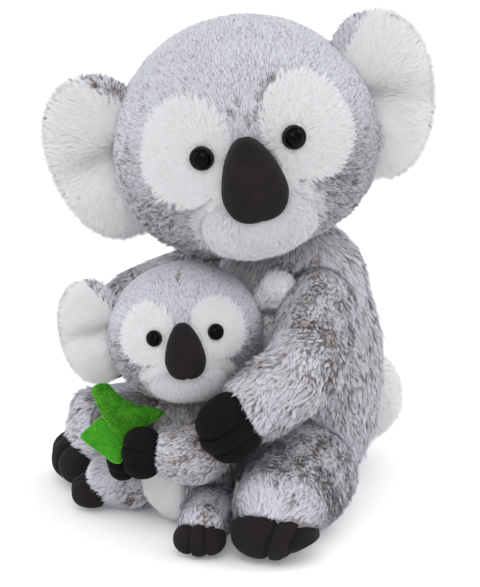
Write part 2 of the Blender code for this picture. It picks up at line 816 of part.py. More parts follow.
def baby_arm_forms(side):
    """The root, the arm and the paw of one of the baby's arms, bent across its belly."""
    shoulder = mirrored((BABY_SHOULDER_SIDE, BABY_BACK, BABY_SHOULDER_HEIGHT), side)
    elbow = Vector(BABY_LEFT_ELBOW if side > 0 else BABY_RIGHT_ELBOW)
    wrist = Vector(BABY_LEFT_WRIST if side > 0 else BABY_RIGHT_WRIST)
    stations = [
        (shoulder, BABY_SHOULDER_RADIUS * BLUNT_DOME_SHARE, 1),
        (elbow, BABY_ELBOW_RADIUS, 1),
        (wrist, BABY_WRIST_RADIUS, 1),
    ]
    form = Form(limb(stations, (0, 0, 1), 10, 4, dome_share=BLUNT_DOME_SHARE))
    onward = (wrist - elbow).normalized()
    place = facing(wrist + onward * BABY_PAW_REACH, onward)
    half = (BABY_PAW_HALF_THICKNESS, BABY_PAW_HALF_WIDTH, BABY_PAW_HALF_LENGTH)
    paw = Form(egg(half, 10, 7, PAD_POWER), place)
    return shoulder, ball(shoulder, BABY_SHOULDER_RADIUS, 10, 7), form, paw


def leaf_form(shares):
    """One panel of the leaf: its outline as a plate of even thickness."""

    def make(shape, grow):
        half_width = LEAF_HALF_WIDTH + grow
        half_height = LEAF_HALF_HEIGHT + grow
        depth = LEAF_THICKNESS / 2 + grow
        outline = [shape.verts.new((x * half_width, -depth, z * half_height)) for x, z in shares]
        front = shape.faces.new(outline)
        made = bmesh.ops.extrude_face_region(shape, geom=[front])
        moved = [item for item in made["geom"] if isinstance(item, bmesh.types.BMVert)]
        bmesh.ops.translate(shape, vec=(0, depth * 2, 0), verts=moved)

    return Form(make, frame_at(LEAF_CENTRE, LEAF_TURN) @ Matrix.Rotation(LEAF_TILT, 4, "X"))


def build():
    clear_scene()
    colours = {
        "grey": material("grey_plush", (0.52, 0.50, 0.54), 0.95),
        "white": material("white_plush", (0.86, 0.88, 0.87), 0.95),
        "suede": material("dark_suede", (0.035, 0.026, 0.028), 0.8),
        "leaf": material("green_plush", (0.10, 0.45, 0.03), 0.9),
        "eye": material("eye_plastic", (0.01, 0.01, 0.01), 0.1),
        "washer": material("washer_plastic", (0.75, 0.75, 0.72), 0.4),
        "bag": material("bag_cloth", (0.80, 0.78, 0.72), 0.9),
    }
    pieces = []
    torso, torso_form = mother_torso(colours)
    neck_form = ball((NECK_SIDE, NECK_BACK, NECK_HEIGHT), NECK_RADIUS, 20, 12)
    head = mother_head(colours)
    cut(head.piece, [neck_form], TURN_GAP)

    baby_half = (BABY_HEAD_HALF_WIDTH, BABY_HEAD_RADIUS, BABY_HEAD_RADIUS)
    baby = Head("baby", BABY_HEAD_CENTRE, BABY_HEAD_TURN, BABY_HEAD_TILT, baby_half, 2, 0, (18, 11))
    baby.piece = solid("baby_head", baby.form.mesh(), colours["grey"])
    cut(torso, [baby.form], TURN_GAP)

    head_pieces = [head.piece] + face(
        head,
        (PATCH_SIDE, PATCH_HEIGHT, PATCH_HALF_WIDTH, PATCH_HALF_HEIGHT, PATCH_LEAN, PATCH_THICKNESS),
        (MUZZLE_FORWARD, MUZZLE_DROP, (MUZZLE_HALF_WIDTH, MUZZLE_HALF_DEPTH, MUZZLE_HALF_HEIGHT)),
        (NOSE_FORWARD, NOSE_DROP, (NOSE_HALF_WIDTH, NOSE_HALF_DEPTH, NOSE_HALF_HEIGHT)),
        (EYE_RADIUS, EYE_SHANK_RADIUS, EYE_SHANK_LENGTH, WASHER_RADIUS, WASHER_THICKNESS, WASHER_DEPTH),
        (EYE_SIDE, EYE_HEIGHT),
        colours,
    )
    baby_head_pieces = [baby.piece] + face(
        baby,
        (
            BABY_PATCH_SIDE, BABY_PATCH_HEIGHT, BABY_PATCH_HALF_WIDTH, BABY_PATCH_HALF_HEIGHT,
            BABY_PATCH_LEAN, BABY_PATCH_THICKNESS,
        ),
        (
            BABY_MUZZLE_FORWARD, BABY_MUZZLE_DROP,
            (BABY_MUZZLE_HALF_WIDTH, BABY_MUZZLE_HALF_DEPTH, BABY_MUZZLE_HALF_HEIGHT),
        ),
        (
            BABY_NOSE_FORWARD, BABY_NOSE_DROP,
            (BABY_NOSE_HALF_WIDTH, BABY_NOSE_HALF_DEPTH, BABY_NOSE_HALF_HEIGHT),
        ),
        (
            BABY_EYE_RADIUS, BABY_EYE_SHANK_RADIUS, BABY_EYE_SHANK_LENGTH,
            BABY_WASHER_RADIUS, BABY_WASHER_THICKNESS, BABY_WASHER_DEPTH,
        ),
        (BABY_EYE_SIDE, BABY_EYE_HEIGHT),
        colours,
    )

    neck = pivot("neck_pivot", (NECK_SIDE, NECK_BACK, NECK_HEIGHT + NECK_RADIUS))
    nod = pivot("baby_nod_pivot", BABY_HEAD_CENTRE)
    ear_sizes = (EAR_OUT, EAR_HEIGHT, EAR_BACK, EAR_HALF_WIDTH, EAR_HALF_HEIGHT, EAR_HALF_THICKNESS, EAR_LEAN)
    baby_ear_sizes = (
        BABY_EAR_OUT, BABY_EAR_HEIGHT, BABY_EAR_BACK,
        BABY_EAR_HALF_WIDTH, BABY_EAR_HALF_HEIGHT, BABY_EAR_HALF_THICKNESS, BABY_EAR_LEAN,
    )

    baby_axis = baby.place.to_3x3() @ Vector((1, 0, 0))
    arms = {}
    for side_name, side in (("left", 1), ("right", -1)):
        arms[side_name] = arm_forms(side)

    for side_name, side in (("left", 1), ("right", -1)):
        made, seat = ear(
            head, side_name, side, ear_sizes, (EAR_ROOT_RADIUS, EAR_ROOT_HALF_LENGTH),
            EAR_CLEARANCE, LINING_THICKNESS, colours,
        )
        fold = pivot(f"ear_fold_{side_name}_pivot", seat, HEAD_TURN, HEAD_TILT)
        fold.parent = neck
        fold.matrix_parent_inverse = neck.matrix_world.inverted()
        pieces.append((made, fold))
        beside = [torso_form, arms[side_name][2]]
        if side > 0:
            beside.append(swung(torso_form, BABY_HEAD_CENTRE, -BABY_NOD, baby_axis))
        made, seat = ear(
            baby, side_name, side, baby_ear_sizes, (BABY_EAR_ROOT_RADIUS, BABY_EAR_ROOT_HALF_LENGTH),
            BABY_EAR_CLEARANCE, BABY_LINING_THICKNESS, colours, beside,
        )
        fold = pivot(f"baby_ear_fold_{side_name}_pivot", seat, BABY_HEAD_TURN, BABY_HEAD_TILT)
        pieces.append((made, fold))

    pieces.append((head_pieces, neck))
    pieces.append((baby_head_pieces, nod))

    baby_stations = [
        ((0, BABY_BACK, BABY_BELLY_HEIGHT), BABY_BELLY_RADIUS, BABY_WIDTH_SHARE),
        ((0, BABY_BACK, (BABY_BELLY_HEIGHT + BABY_CHEST_HEIGHT) / 2), BABY_BELLY_RADIUS, BABY_WIDTH_SHARE),
        ((0, BABY_BACK, BABY_CHEST_HEIGHT), BABY_CHEST_RADIUS, 1),
    ]
    baby_form = Form(limb(baby_stations, (1, 0, 0), 14, 4, dome_steps=2))
    baby_torso = solid("baby_torso", baby_form.mesh(), colours["grey"])
    cut_flat(baby_torso, FLOOR_GAP)
    cut(baby_torso, [torso_form])
    cut(baby_torso, [baby.form], TURN_GAP)

    belly_at = Matrix.Translation((0, BABY_BACK - BABY_BELLY_RADIUS, BABY_BELLY_HEIGHT + OVERRUN))
    belly_half = (BABY_PANEL_HALF_WIDTH, BABY_PANEL_HALF_WIDTH, BABY_PANEL_HALF_HEIGHT)
    belly_column = Form(egg(belly_half, 12, 6, PAD_POWER), belly_at)
    belly = pad("baby_belly_panel", baby_form, belly_column, BABY_PANEL_THICKNESS, colours["white"])
    bib_at = (BIB_SIDE, -BIB_FORWARD, NECK_HEIGHT - BIB_DROP)
    bib_half = (BIB_HALF_WIDTH, BIB_HALF_WIDTH, BIB_HALF_HEIGHT)
    bib_column = Form(egg(bib_half, 12, 6, PAD_POWER), Matrix.Translation(bib_at))
    bib = pad("chest_bib", torso_form, bib_column, BIB_THICKNESS, colours["white"])
    cut(bib, [baby.form], SWING_GAP, FITTED)

    leaf_upper = leaf_form(UPPER_LEAF_SHARES)
    leaf_lower = leaf_form(LOWER_LEAF_SHARES)
    leg_reach = {
        "left": (LEFT_LEG_SPLAY, LEFT_LEG_LENGTH),
        "right": (RIGHT_LEG_SPLAY, RIGHT_LEG_LENGTH),
    }
    baby_leg_reach = {
        "left": (BABY_LEFT_LEG_SPLAY, BABY_LEFT_LEG_LENGTH),
        "right": (BABY_RIGHT_LEG_SPLAY, BABY_RIGHT_LEG_LENGTH),
    }
    leg_radii = (HIP_RADIUS, THIGH_RADIUS, ANKLE_RADIUS)
    foot_half = (FOOT_HALF_WIDTH, FOOT_HALF_LENGTH, FOOT_HALF_HEIGHT)
    baby_leg_radii = (BABY_HIP_RADIUS, BABY_THIGH_RADIUS, BABY_ANKLE_RADIUS)
    baby_foot_half = (BABY_FOOT_HALF_WIDTH, BABY_FOOT_HALF_LENGTH, BABY_FOOT_HALF_HEIGHT)
    for side_name, side in (("left", 1), ("right", -1)):
        hip = (HIP_SIDE, HIP_BACK, HIP_HEIGHT)
        at, root, leg_form, foot_form = leg_forms(
            side, hip, *leg_reach[side_name], leg_radii, foot_half, FOOT_REACH
        )
        leg = root_limb(
            f"leg_{side_name}", leg_form, root, torso_form, at, LEG_SWING * side, colours["grey"]
        )
        cut(torso, [root], TURN_GAP)
        cut_flat(leg, FLOOR_GAP)
        foot = solid(f"foot_{side_name}", foot_form.mesh(), colours["suede"])
        cut(foot, [leg_form])
        keep_main_body(foot)
        pieces.append(([leg, foot], pivot(f"hip_{side_name}_pivot", at)))

        shoulder, root, arm_form, paw_form = arms[side_name]
        arm = root_limb(
            f"arm_{side_name}", arm_form, root, torso_form, shoulder, ARM_SWING * side, colours["grey"]
        )
        cut(arm, [baby.form], SWING_GAP)
        keep_main_body(arm)
        cut(torso, [root], TURN_GAP)
        cut(bib, [arm_form, root], SWING_GAP, FITTED)
        paw = solid(f"paw_{side_name}", paw_form.mesh(), colours["suede"])
        cut(paw, [arm_form])
        for share in SWING_SHARES:
            cut(paw, [swung(leg_form, shoulder, ARM_SWING * side * share)], SWING_GAP)
        cut(paw, [baby.form], SWING_GAP)
        keep_main_body(paw)
        pieces.append(([arm, paw], pivot(f"shoulder_{side_name}_pivot", shoulder)))

        baby_hip = (BABY_HIP_SIDE, BABY_BACK, BABY_HIP_HEIGHT)
        at, root, small_leg, small_foot = leg_forms(
            side, baby_hip, *baby_leg_reach[side_name], baby_leg_radii, baby_foot_half, BABY_FOOT_REACH
        )
        leg = root_limb(
            f"baby_leg_{side_name}", small_leg, root, baby_form, at, -BABY_LEG_SWING * side, colours["grey"]
        )
        cut(leg, [leg_form, foot_form, torso_form], SWING_GAP)
        keep_main_body(leg)
        cut_flat(leg, FLOOR_GAP)
        cut(baby_torso, [root], TURN_GAP)
        cut(belly, [small_leg, swung(small_leg, at, BABY_LEG_SWING * side), root], SWING_GAP, FITTED)
        foot = solid(f"baby_foot_{side_name}", small_foot.mesh(), colours["suede"])
        cut(foot, [small_leg])
        cut(foot, [leg_form, foot_form], SWING_GAP)
        keep_main_body(foot)
        pieces.append(([leg, foot], pivot(f"baby_hip_{side_name}_pivot", at)))

        shoulder, root, small_arm, small_paw = baby_arm_forms(side)
        arm = root_limb(
            f"baby_arm_{side_name}", small_arm, root, baby_form, shoulder, BABY_ARM_SWING * side,
            colours["grey"],
        )
        cut(arm, [baby.form, arm_form, paw_form], SWING_GAP)
        for share in SWING_SHARES:
            swing = BABY_ARM_SWING * side * share
            near = [swung(form, shoulder, swing) for form in (paw_form, leg_form, baby.form)]
            cut(arm, near, SWING_GAP)
        keep_main_body(arm)
        cut(baby_torso, [root], TURN_GAP)
        cut(belly, [small_arm, root], SWING_GAP, FITTED)
        paw = solid(f"baby_paw_{side_name}", small_paw.mesh(), colours["suede"])
        cut(paw, [small_arm])
        leaf_gap = LEAF_GAP if side > 0 else SWING_GAP
        cut(arm, [leaf_upper, leaf_lower], leaf_gap)
        cut(paw, [leaf_upper, leaf_lower], leaf_gap)
        if side < 0:
            cut(arm, [left_paw], SWING_GAP)
            cut(paw, [left_paw], SWING_GAP)
        left_paw = small_paw
        keep_main_body(paw)
        pieces.append(([arm, paw], pivot(f"baby_shoulder_{side_name}_pivot", shoulder)))

    keep_main_body(baby_torso)
    keep_main_body(belly)
    keep_main_body(bib)

    tail_at = Vector((0, BELLY_BACK + BELLY_RADIUS - TAIL_ROOT_RADIUS / 2, TAIL_HEIGHT))
    tail_half = (TAIL_HALF_WIDTH, TAIL_HALF_DEPTH, TAIL_HALF_HEIGHT)
    tail_out = Matrix.Translation(tail_at + Vector((0, TAIL_OUT + TAIL_ROOT_RADIUS / 2, 0)))
    tail_form = Form(egg(tail_half, 12, 8), tail_out)
    tail_root = ball(tail_at, TAIL_ROOT_RADIUS, 12, 8)
    tail = solid("tail", tail_form.mesh(), colours["white"])
    for angle in (-TAIL_SWING, 0, TAIL_SWING):
        cut(tail, [swung(torso_form, tail_at, angle)], SWING_GAP, FITTED)
    keep_main_body(tail)
    combine(tail, tail_root.mesh(), "UNION")
    cut(torso, [tail_root], TURN_GAP)
    pieces.append(([tail], pivot("tail_pivot", tail_at)))

    leaf = [
        solid("leaf_upper", leaf_upper.mesh(), colours["leaf"]),
        solid("leaf_lower", leaf_lower.mesh(), colours["leaf"]),
    ]
    fill = base_fill(torso, colours)
    fixed = [torso, bib, baby_torso, belly, *fill, *leaf]
    finish(fixed)
    for group, carrier in pieces:
        bpy.context.view_layer.update()
        hang(group, carrier)
        finish(group)


build()
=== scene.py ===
"""The looks of a plush koala with a baby: fur, suede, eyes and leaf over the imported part."""

import math
from types import SimpleNamespace

import bpy
import numpy as np
from mathutils import Matrix, Vector
from mathutils.kdtree import KDTree


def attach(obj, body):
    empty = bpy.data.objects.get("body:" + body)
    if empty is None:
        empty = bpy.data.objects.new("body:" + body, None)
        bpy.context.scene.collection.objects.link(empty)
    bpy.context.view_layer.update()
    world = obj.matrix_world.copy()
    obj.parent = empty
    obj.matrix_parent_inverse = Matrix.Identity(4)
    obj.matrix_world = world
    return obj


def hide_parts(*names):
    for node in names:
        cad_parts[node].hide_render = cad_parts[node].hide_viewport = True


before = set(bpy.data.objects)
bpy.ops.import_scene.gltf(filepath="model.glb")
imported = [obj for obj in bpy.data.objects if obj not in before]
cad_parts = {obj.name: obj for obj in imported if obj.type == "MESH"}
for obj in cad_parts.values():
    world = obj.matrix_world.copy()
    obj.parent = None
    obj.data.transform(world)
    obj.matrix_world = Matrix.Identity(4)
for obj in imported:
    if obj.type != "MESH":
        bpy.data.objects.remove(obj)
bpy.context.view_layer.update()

MM = 0.001
UP = np.array((0.0, 0.0, 1.0))
SIDES = (("right", -1), ("left", 1))

# The photograph: its pixel in metres, its size and the origin's place in pixels, and its view
PIXEL = 0.6 * MM
PHOTO_WIDTH, PHOTO_HEIGHT = 480, 587
ORIGIN_ACROSS, ORIGIN_DOWN = 267, 493.6
AZIMUTH, ELEVATION = math.radians(45), math.radians(20)
RIGHT = np.array((math.cos(AZIMUTH), math.sin(AZIMUTH), 0.0))
VIEW = np.array((RIGHT[1] * math.cos(ELEVATION), -RIGHT[0] * math.cos(ELEVATION), math.sin(ELEVATION)))
TOP = np.cross(VIEW, RIGHT)

# How deep under each solid's outside the backing of its pile lies
BODY_PILE = 3.5 * MM
BABY_PILE = 2.5 * MM

# How far strands stay from suede, eyes and the ground, and cloth from the ground
SUEDE_CLEAR = 0.2 * MM
STRAND_FLOOR = 0.6 * MM
TORSO_FLOOR = 0.8 * MM
SKIN_FLOOR = 1.2 * MM
FLOOR_GAP = 0.5 * MM

# Bodies, as the solids have them: a point on the middle line, a radius and a width share
BODY_BACK = 0.017
TORSO = (
    ((0, BODY_BACK, 0.044), 0.055, 1.12),
    ((0.0035, 0.019, 0.088), 0.055, 1.07),
    ((0.006, 0.0155, 0.128), 0.049, 1),
)
BABY_BACK = -0.066
BABY_TORSO = (
    ((0, BABY_BACK, 0.024), 0.029, 1.06),
    ((0, BABY_BACK, 0.046), 0.029, 1.06),
    ((0, BABY_BACK, 0.068), 0.021, 1),
)
# How much of a body's width goes at the ground, below each height
BODY_DRAWS, BABY_DRAWS = ((0.05, 0.2), (0.005, 0.07)), ((0.022, 0.35),)

BODY_MIDDLE = 0.012
BIB_CENTRE, BIB_HALF, BIB_PROUD = (0.003, -0.03, 0.126), (0.034, 0.034, 0.028), 0.8 * MM
BELLY_CENTRE, BELLY_HALF, BELLY_PROUD = (0, -0.095, 0.028), (0.017, 0.017, 0.03), 0.5 * MM

TAIL_CENTRE, TAIL_HALF, TAIL_INSET = (0, 0.08, 0.043), (0.027, 0.025, 0.0285), 3.0 * MM
TAIL_ROOT = np.array((0, 0.05, 0.052))

# The leaf's place and reach, and its panels' outlines in shares of that reach
LEAF_CENTRE, LEAF_TURN, LEAF_TILT = (-0.01, -0.12, 0.074), 45, -20
LEAF_HALF = 0.024
LEAF_EDGE, SEAM_RADIUS = 0.3 * MM, 0.32 * MM
UPPER_LEAF_SHARES = (
    (-0.52, 0.78), (-0.45, 0.92), (-0.27, 0.98), (-0.12, 0.95), (0.1, 0.72), (0.5, 0.45),
    (1.26, 0.27), (0.73, -0.12), (0.23, -0.45), (-0.04, -0.15), (-0.25, 0.17), (-0.38, 0.45),
)
LOWER_LEAF_SHARES = (
    (-0.28, 0.13), (-0.53, -0.05), (-0.78, -0.29), (-0.74, -0.43), (-0.35, -0.72),
    (0.0, -0.98), (0.2, -0.97), (0.25, -0.72), (0.21, -0.47), (-0.06, -0.17),
)

# Where the pile parts and shows its brown roots: a pixel of the photograph across and down, the
# slit's length in pixels and its lean in degrees
PARTINGS = (
    (248, 126, 6, 0), (238, 108, 6, -20), (316, 266, 13, 10), (301, 296, 8, 80), (324, 311, 9, 20),
    (311, 328, 8, 30), (296, 432, 9, 60), (316, 449, 11, 50), (304, 458, 8, 70), (263, 466, 8, 0),
    (293, 497, 9, 20), (325, 512, 9, 10), (232, 513, 8, 30), (130, 501, 9, 40), (175, 436, 7, 40),
    (187, 456, 7, 60), (116, 360, 8, 20), (179, 277, 6, 10), (122, 330, 6, 0), (186, 244, 10, 60),
    (170, 226, 9, 50), (202, 251, 8, 80), (120, 196, 9, 20), (146, 206, 7, 40), (255, 120, 8, 15),
    (260, 102, 9, 20), (270, 86, 9, 40), (232, 118, 6, -30), (331, 228, 8, -40), (352, 208, 7, -30),
    (352, 300, 9, 10), (346, 345, 9, 0), (349, 392, 9, 0), (285, 350, 8, 30), (336, 420, 8, 30),
    (128, 160, 6, 10), (362, 250, 8, 10),
)

# Shapes


def unit(v):
    return v / np.maximum(np.linalg.norm(v, axis=-1, keepdims=True), 1e-9)


def clamp(x):
    return np.clip(x, 0, 1)


def bell(x):
    return np.exp(-(x**2))


def turned(degrees, axis):
    return Matrix.Rotation(math.radians(degrees), 4, axis)


def frame_at(centre, turn, tilt=0):
    """A place turned about Z and tilted about Y, in degrees."""
    return Matrix.Translation(centre) @ turned(turn, "Z") @ turned(-tilt, "Y")


def facing(point, outward, upright=(0, 0, 1)):
    """A place at a point whose +Z runs outward and whose +Y leans toward upright."""
    normal = Vector(outward).normalized()
    across = Vector(upright).cross(normal).normalized()
    rise = normal.cross(across)
    return Matrix.Translation(point) @ Matrix((across, rise, normal)).transposed().to_4x4()


def moved(place, points):
    m = np.array(place)
    return points @ m[:3, :3].T + m[:3, 3]


def local_points(place, points):
    return moved(place.inverted(), points)


class Form:
    """A closed soft shape: a fine mesh, and how far points lie outside it."""

    def __init__(self, verts, faces, distance=None):
        self.verts, self.faces, self.distance = verts, faces, distance
        tris = []
        for face in faces:
            tris.append((face[0], face[1], face[2]))
            if len(face) == 4:
                tris.append((face[0], face[2], face[3]))
        self.tris = np.array(tris)
        a, b, c = (verts[self.tris[:, i]] for i in range(3))
        cross = np.cross(b - a, c - a)
        self.area = np.linalg.norm(cross, axis=1) / 2
        normals = np.zeros_like(verts)
        for i in range(3):
            np.add.at(normals, self.tris[:, i], cross)
        self.normals = unit(normals)


def ring_faces(loops, count):
    """Faces between loops of vertices, each loop with the same count."""
    faces = []
    for k in range(loops - 1):
        low, high = k * count, (k + 1) * count
        for i in range(count):
            j = (i + 1) % count
            faces.append((low + i, low + j, high + j, high + i))
    return faces


def grid_faces(loops, count, first, last):
    """Faces between loops of vertices, with a fan at each end."""
    faces = ring_faces(loops, count)
    top = (loops - 1) * count
    for i in range(count):
        j = (i + 1) % count
        faces.append((first, j, i))
        faces.append((last, top + i, top + j))
    return faces


def egg(half, place, power=2.0, cheek=0.0, grow=0.0, segments=72, rings=44, shape=None):
    """A superellipsoid that narrows upward by a cheek share, and that a shape may press on."""
    size = np.array(half) + grow
    rows = []
    for k in range(1, rings):
        lean = math.pi * k / rings - math.pi / 2
        for i in range(segments):
            a = 2 * math.pi * i / segments
            rows.append((math.cos(lean) * math.cos(a), math.cos(lean) * math.sin(a), math.sin(lean)))
    rows += [(0, 0, -1), (0, 0, 1)]
    local = np.array(rows)
    spread = (np.abs(local / size) ** power).sum(1) ** (-1 / power)
    local = local * spread[:, None]
    local[:, 0] *= 1 - cheek * local[:, 2] / size[2]
    if shape:
        local = shape(local)
    faces = grid_faces(rings - 1, segments, len(rows) - 2, len(rows) - 1)

    def distance(points):
        p = local_points(place, points)
        p[:, 0] /= 1 - cheek * np.clip(p[:, 2] / size[2], -1, 1)
        f = (np.abs(p / size) ** power).sum(1) ** (1 / power)
        return np.linalg.norm(p, axis=1) * (1 - 1 / np.maximum(f, 1e-6))

    return Form(moved(place, local), faces, distance)


def curve_value(values, at):
    """A value on the smooth curve through a list of values."""
    last = len(values) - 1
    index = min(int(at), last - 1)
    part = at - index
    before, after = values[max(index - 1, 0)], values[min(index + 2, last)]
    start, end = values[index], values[index + 1]
    slope_in, slope_out = (end - before) / 2, (after - start) / 2
    square, cube = part**2, part**3
    return (
        start * (2 * cube - 3 * square + 1)
        + slope_in * (cube - 2 * square + part)
        + end * (3 * square - 2 * cube)
        + slope_out * (cube - square)
    )


def limb(stations, across, grow=0.0, segments=48, steps=26, domes=9, dome_share=1.0):
    """A form along a smooth curve through (point, radius, width share) stations."""
    points = [np.array(s[0], float) for s in stations]
    radii = [s[1] for s in stations]
    widths = [s[2] for s in stations]
    last = len(stations) - 1
    ahead = last / (steps * steps)
    leans = [math.pi / 2 * (k + 1) / (domes + 1) for k in range(domes)]
    rows = [(0, -math.sin(lean), math.cos(lean), 1) for lean in leans[::-1]]
    rows += [(last * k / steps, 0, 1, 1) for k in range(steps + 1)]
    rows += [(last, math.sin(lean), math.cos(lean), dome_share) for lean in leans]
    verts = []
    across = np.array(across, float)
    turn = np.linspace(0, 2 * math.pi, segments, endpoint=False)
    for at, push, ring, share in rows:
        before = curve_value(points, max(at - ahead, 0))
        tangent = unit(curve_value(points, min(at + ahead, last)) - before)
        side = unit(across - tangent * tangent.dot(across))
        up = np.cross(tangent, side)
        radius = curve_value(radii, at) + grow
        width = radius * curve_value(widths, at)
        centre = curve_value(points, at) + tangent * radius * push * share
        loop = np.outer(np.cos(turn), side) * width + np.outer(np.sin(turn), up) * radius
        verts.append(centre + loop * ring)
    start = unit(curve_value(points, ahead) - points[0])
    end = unit(points[-1] - curve_value(points, last - ahead))
    verts.append((points[0] - start * (radii[0] + grow))[None])
    verts.append((points[-1] + end * (radii[-1] + grow) * dome_share)[None])
    verts = np.concatenate(verts)
    faces = grid_faces(len(rows), segments, len(verts) - 2, len(verts) - 1)
    samples = np.linspace(0, last, 28)
    centres = np.array([curve_value(points, a) for a in samples])
    sizes = np.array([curve_value(radii, a) for a in samples]) + grow

    def distance(p):
        return np.min([np.linalg.norm(p - c, axis=1) - r for c, r in zip(centres, sizes)], axis=0)

    return Form(verts, faces, distance)


def draw_in(form, back, draws, floor):
    """Draws a body's bottom in, by a share at the ground that fades out at a height."""
    level = form.verts[:, 2:3]
    share = 1
    for height, amount in draws:
        share = share - amount * clamp((height - level) / height)
    form.verts[:, :2] = (0, back) + (form.verts[:, :2] - (0, back)) * share
    form.verts[:, 2] = np.maximum(form.verts[:, 2], floor)


# Pieces


def add_object(name, data):
    made = bpy.data.objects.new(name, data)
    bpy.context.scene.collection.objects.link(made)
    return made


def mesh_object(name, verts, faces, material, smooth=True):
    mesh = bpy.data.meshes.new(name)
    mesh.from_pydata([tuple(v) for v in verts], [], [tuple(f) for f in faces])
    mesh.update()
    mesh.materials.append(material)
    if smooth:
        mesh.shade_smooth()
    return add_object(name, mesh)


def dress(made, body, node=None):
    """Lets a piece ride on a body, and stand for a solid if one is named."""
    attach(made, body)
    if node:
        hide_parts(node)


def skin(name, form, body, material, node):
    """The stuffed skin that stands for a solid."""
    made = mesh_object(name, form.verts, form.faces, material)
    dress(made, body, node)


def pad(name, form, inside, body, node, lift=0.0):
    """The faces of a form whose corners are all inside, as a white backing that stands for a solid."""
    kept = [face for face in form.faces if all(inside[i] for i in face)]
    used = sorted({i for face in kept for i in face})
    number = {old: new for new, old in enumerate(used)}
    verts = form.verts[used] + form.normals[used] * lift
    made = mesh_object(name, verts, [[number[i] for i in face] for face in kept], LIGHT_BACKING)
    dress(made, body, node)


# Materials


def node_material(name):
    made = bpy.data.materials.new(name)
    made.use_nodes = True
    nodes, links = made.node_tree.nodes, made.node_tree.links
    return made, nodes, links, nodes["Principled BSDF"]


def set_inputs(node, values):
    for name, value in values.items():
        node.inputs[name.replace("_", " ")].default_value = value


def shine(shader, roughness, gloss, sheen=0.0, sheen_roughness=0.5):
    set_inputs(shader, {"Roughness": roughness, "Specular IOR Level": gloss})
    set_inputs(shader, {"Sheen Weight": sheen, "Sheen Roughness": sheen_roughness})


def add(nodes, kind, **values):
    node = nodes.new(kind)
    set_inputs(node, values)
    return node


def calculate(nodes, links, operation, *values):
    """The result of an operation on numbers and the outputs of other nodes."""
    node = nodes.new("ShaderNodeMath")
    node.operation = operation
    for socket, value in zip(node.inputs, values):
        if isinstance(value, float):
            socket.default_value = value
        else:
            links.new(value, socket)
    return node.outputs[0]


def noise(nodes, links, scale, detail):
    coords = nodes.new("ShaderNodeTexCoord")
    node = add(nodes, "ShaderNodeTexNoise", Scale=scale, Detail=detail)
    links.new(coords.outputs["Object"], node.inputs["Vector"])
    return node.outputs[0]


def ramp(nodes, links, value, stops):
    node = nodes.new("ShaderNodeValToRGB")
    points = node.color_ramp.elements
    while len(points) < len(stops):
        points.new(0.5)
    for point, (at, colour) in zip(points, stops):
        point.position = at
        point.color = (*colour, 1)
    links.new(value, node.inputs[0])
    return node.outputs[0]


def raise_grain(nodes, links, shader, height, strength, distance):
    raised = add(nodes, "ShaderNodeBump", Strength=strength, Distance=distance)
    links.new(height, raised.inputs["Height"])
    links.new(raised.outputs[0], shader.inputs["Normal"])


def fur_material(name, stops, mottle=0.3, sheen=0.25, scale=90.0, shades=(0.72, 1.12)):
    """Strands coloured from root to tip, with a shade of their own and a mottle across the pile."""
    made, nodes, links, shader = node_material(name)
    uv = nodes.new("ShaderNodeUVMap")
    uv.uv_map = "Strand"
    split = nodes.new("ShaderNodeSeparateXYZ")
    links.new(uv.outputs[0], split.inputs[0])
    shift = add(nodes, "ShaderNodeMapRange", From_Min=0.3, From_Max=0.7, To_Min=-mottle, To_Max=mottle * 0.5)
    links.new(noise(nodes, links, scale, 2.0), shift.inputs[0])
    up_strand = calculate(nodes, links, "ADD", split.outputs[1], shift.outputs[0])
    bright = add(nodes, "ShaderNodeMapRange", To_Min=shades[0], To_Max=shades[1])
    links.new(split.outputs[0], bright.inputs[0])
    tint = nodes.new("ShaderNodeVectorMath")
    tint.operation = "SCALE"
    links.new(ramp(nodes, links, up_strand, stops), tint.inputs[0])
    links.new(bright.outputs[0], tint.inputs["Scale"])
    links.new(tint.outputs[0], shader.inputs["Base Color"])
    shine(shader, 0.8, 0.2, sheen)
    return made


def cloth_material(name, low, high, bump=0.2, scale=2600.0, sheen=0.1, gloss=0.25):
    """A knitted backing or a napped cloth, with a fine grain and a slow change of shade."""
    made, nodes, links, shader = node_material(name)
    fine = noise(nodes, links, scale, 4.0)
    half = calculate(nodes, links, "MULTIPLY", noise(nodes, links, 60.0, 3.0), 0.5)
    both = calculate(nodes, links, "MULTIPLY_ADD", fine, 0.5, half)
    links.new(ramp(nodes, links, both, ((0.35, low), (0.65, high))), shader.inputs["Base Color"])
    raise_grain(nodes, links, shader, fine, bump, 0.4 * MM)
    shine(shader, 0.9, gloss, sheen, 0.4)
    return made


def plastic_material(name, colour, roughness, grain=0.02, gloss=0.5):
    made, nodes, links, shader = node_material(name)
    fine = noise(nodes, links, 400.0, 2.0)
    light = tuple(c * 1.15 for c in colour)
    links.new(ramp(nodes, links, fine, ((0.3, colour), (0.7, light))), shader.inputs["Base Color"])
    raise_grain(nodes, links, shader, fine, grain, 0.2 * MM)
    shine(shader, roughness, gloss)
    return made


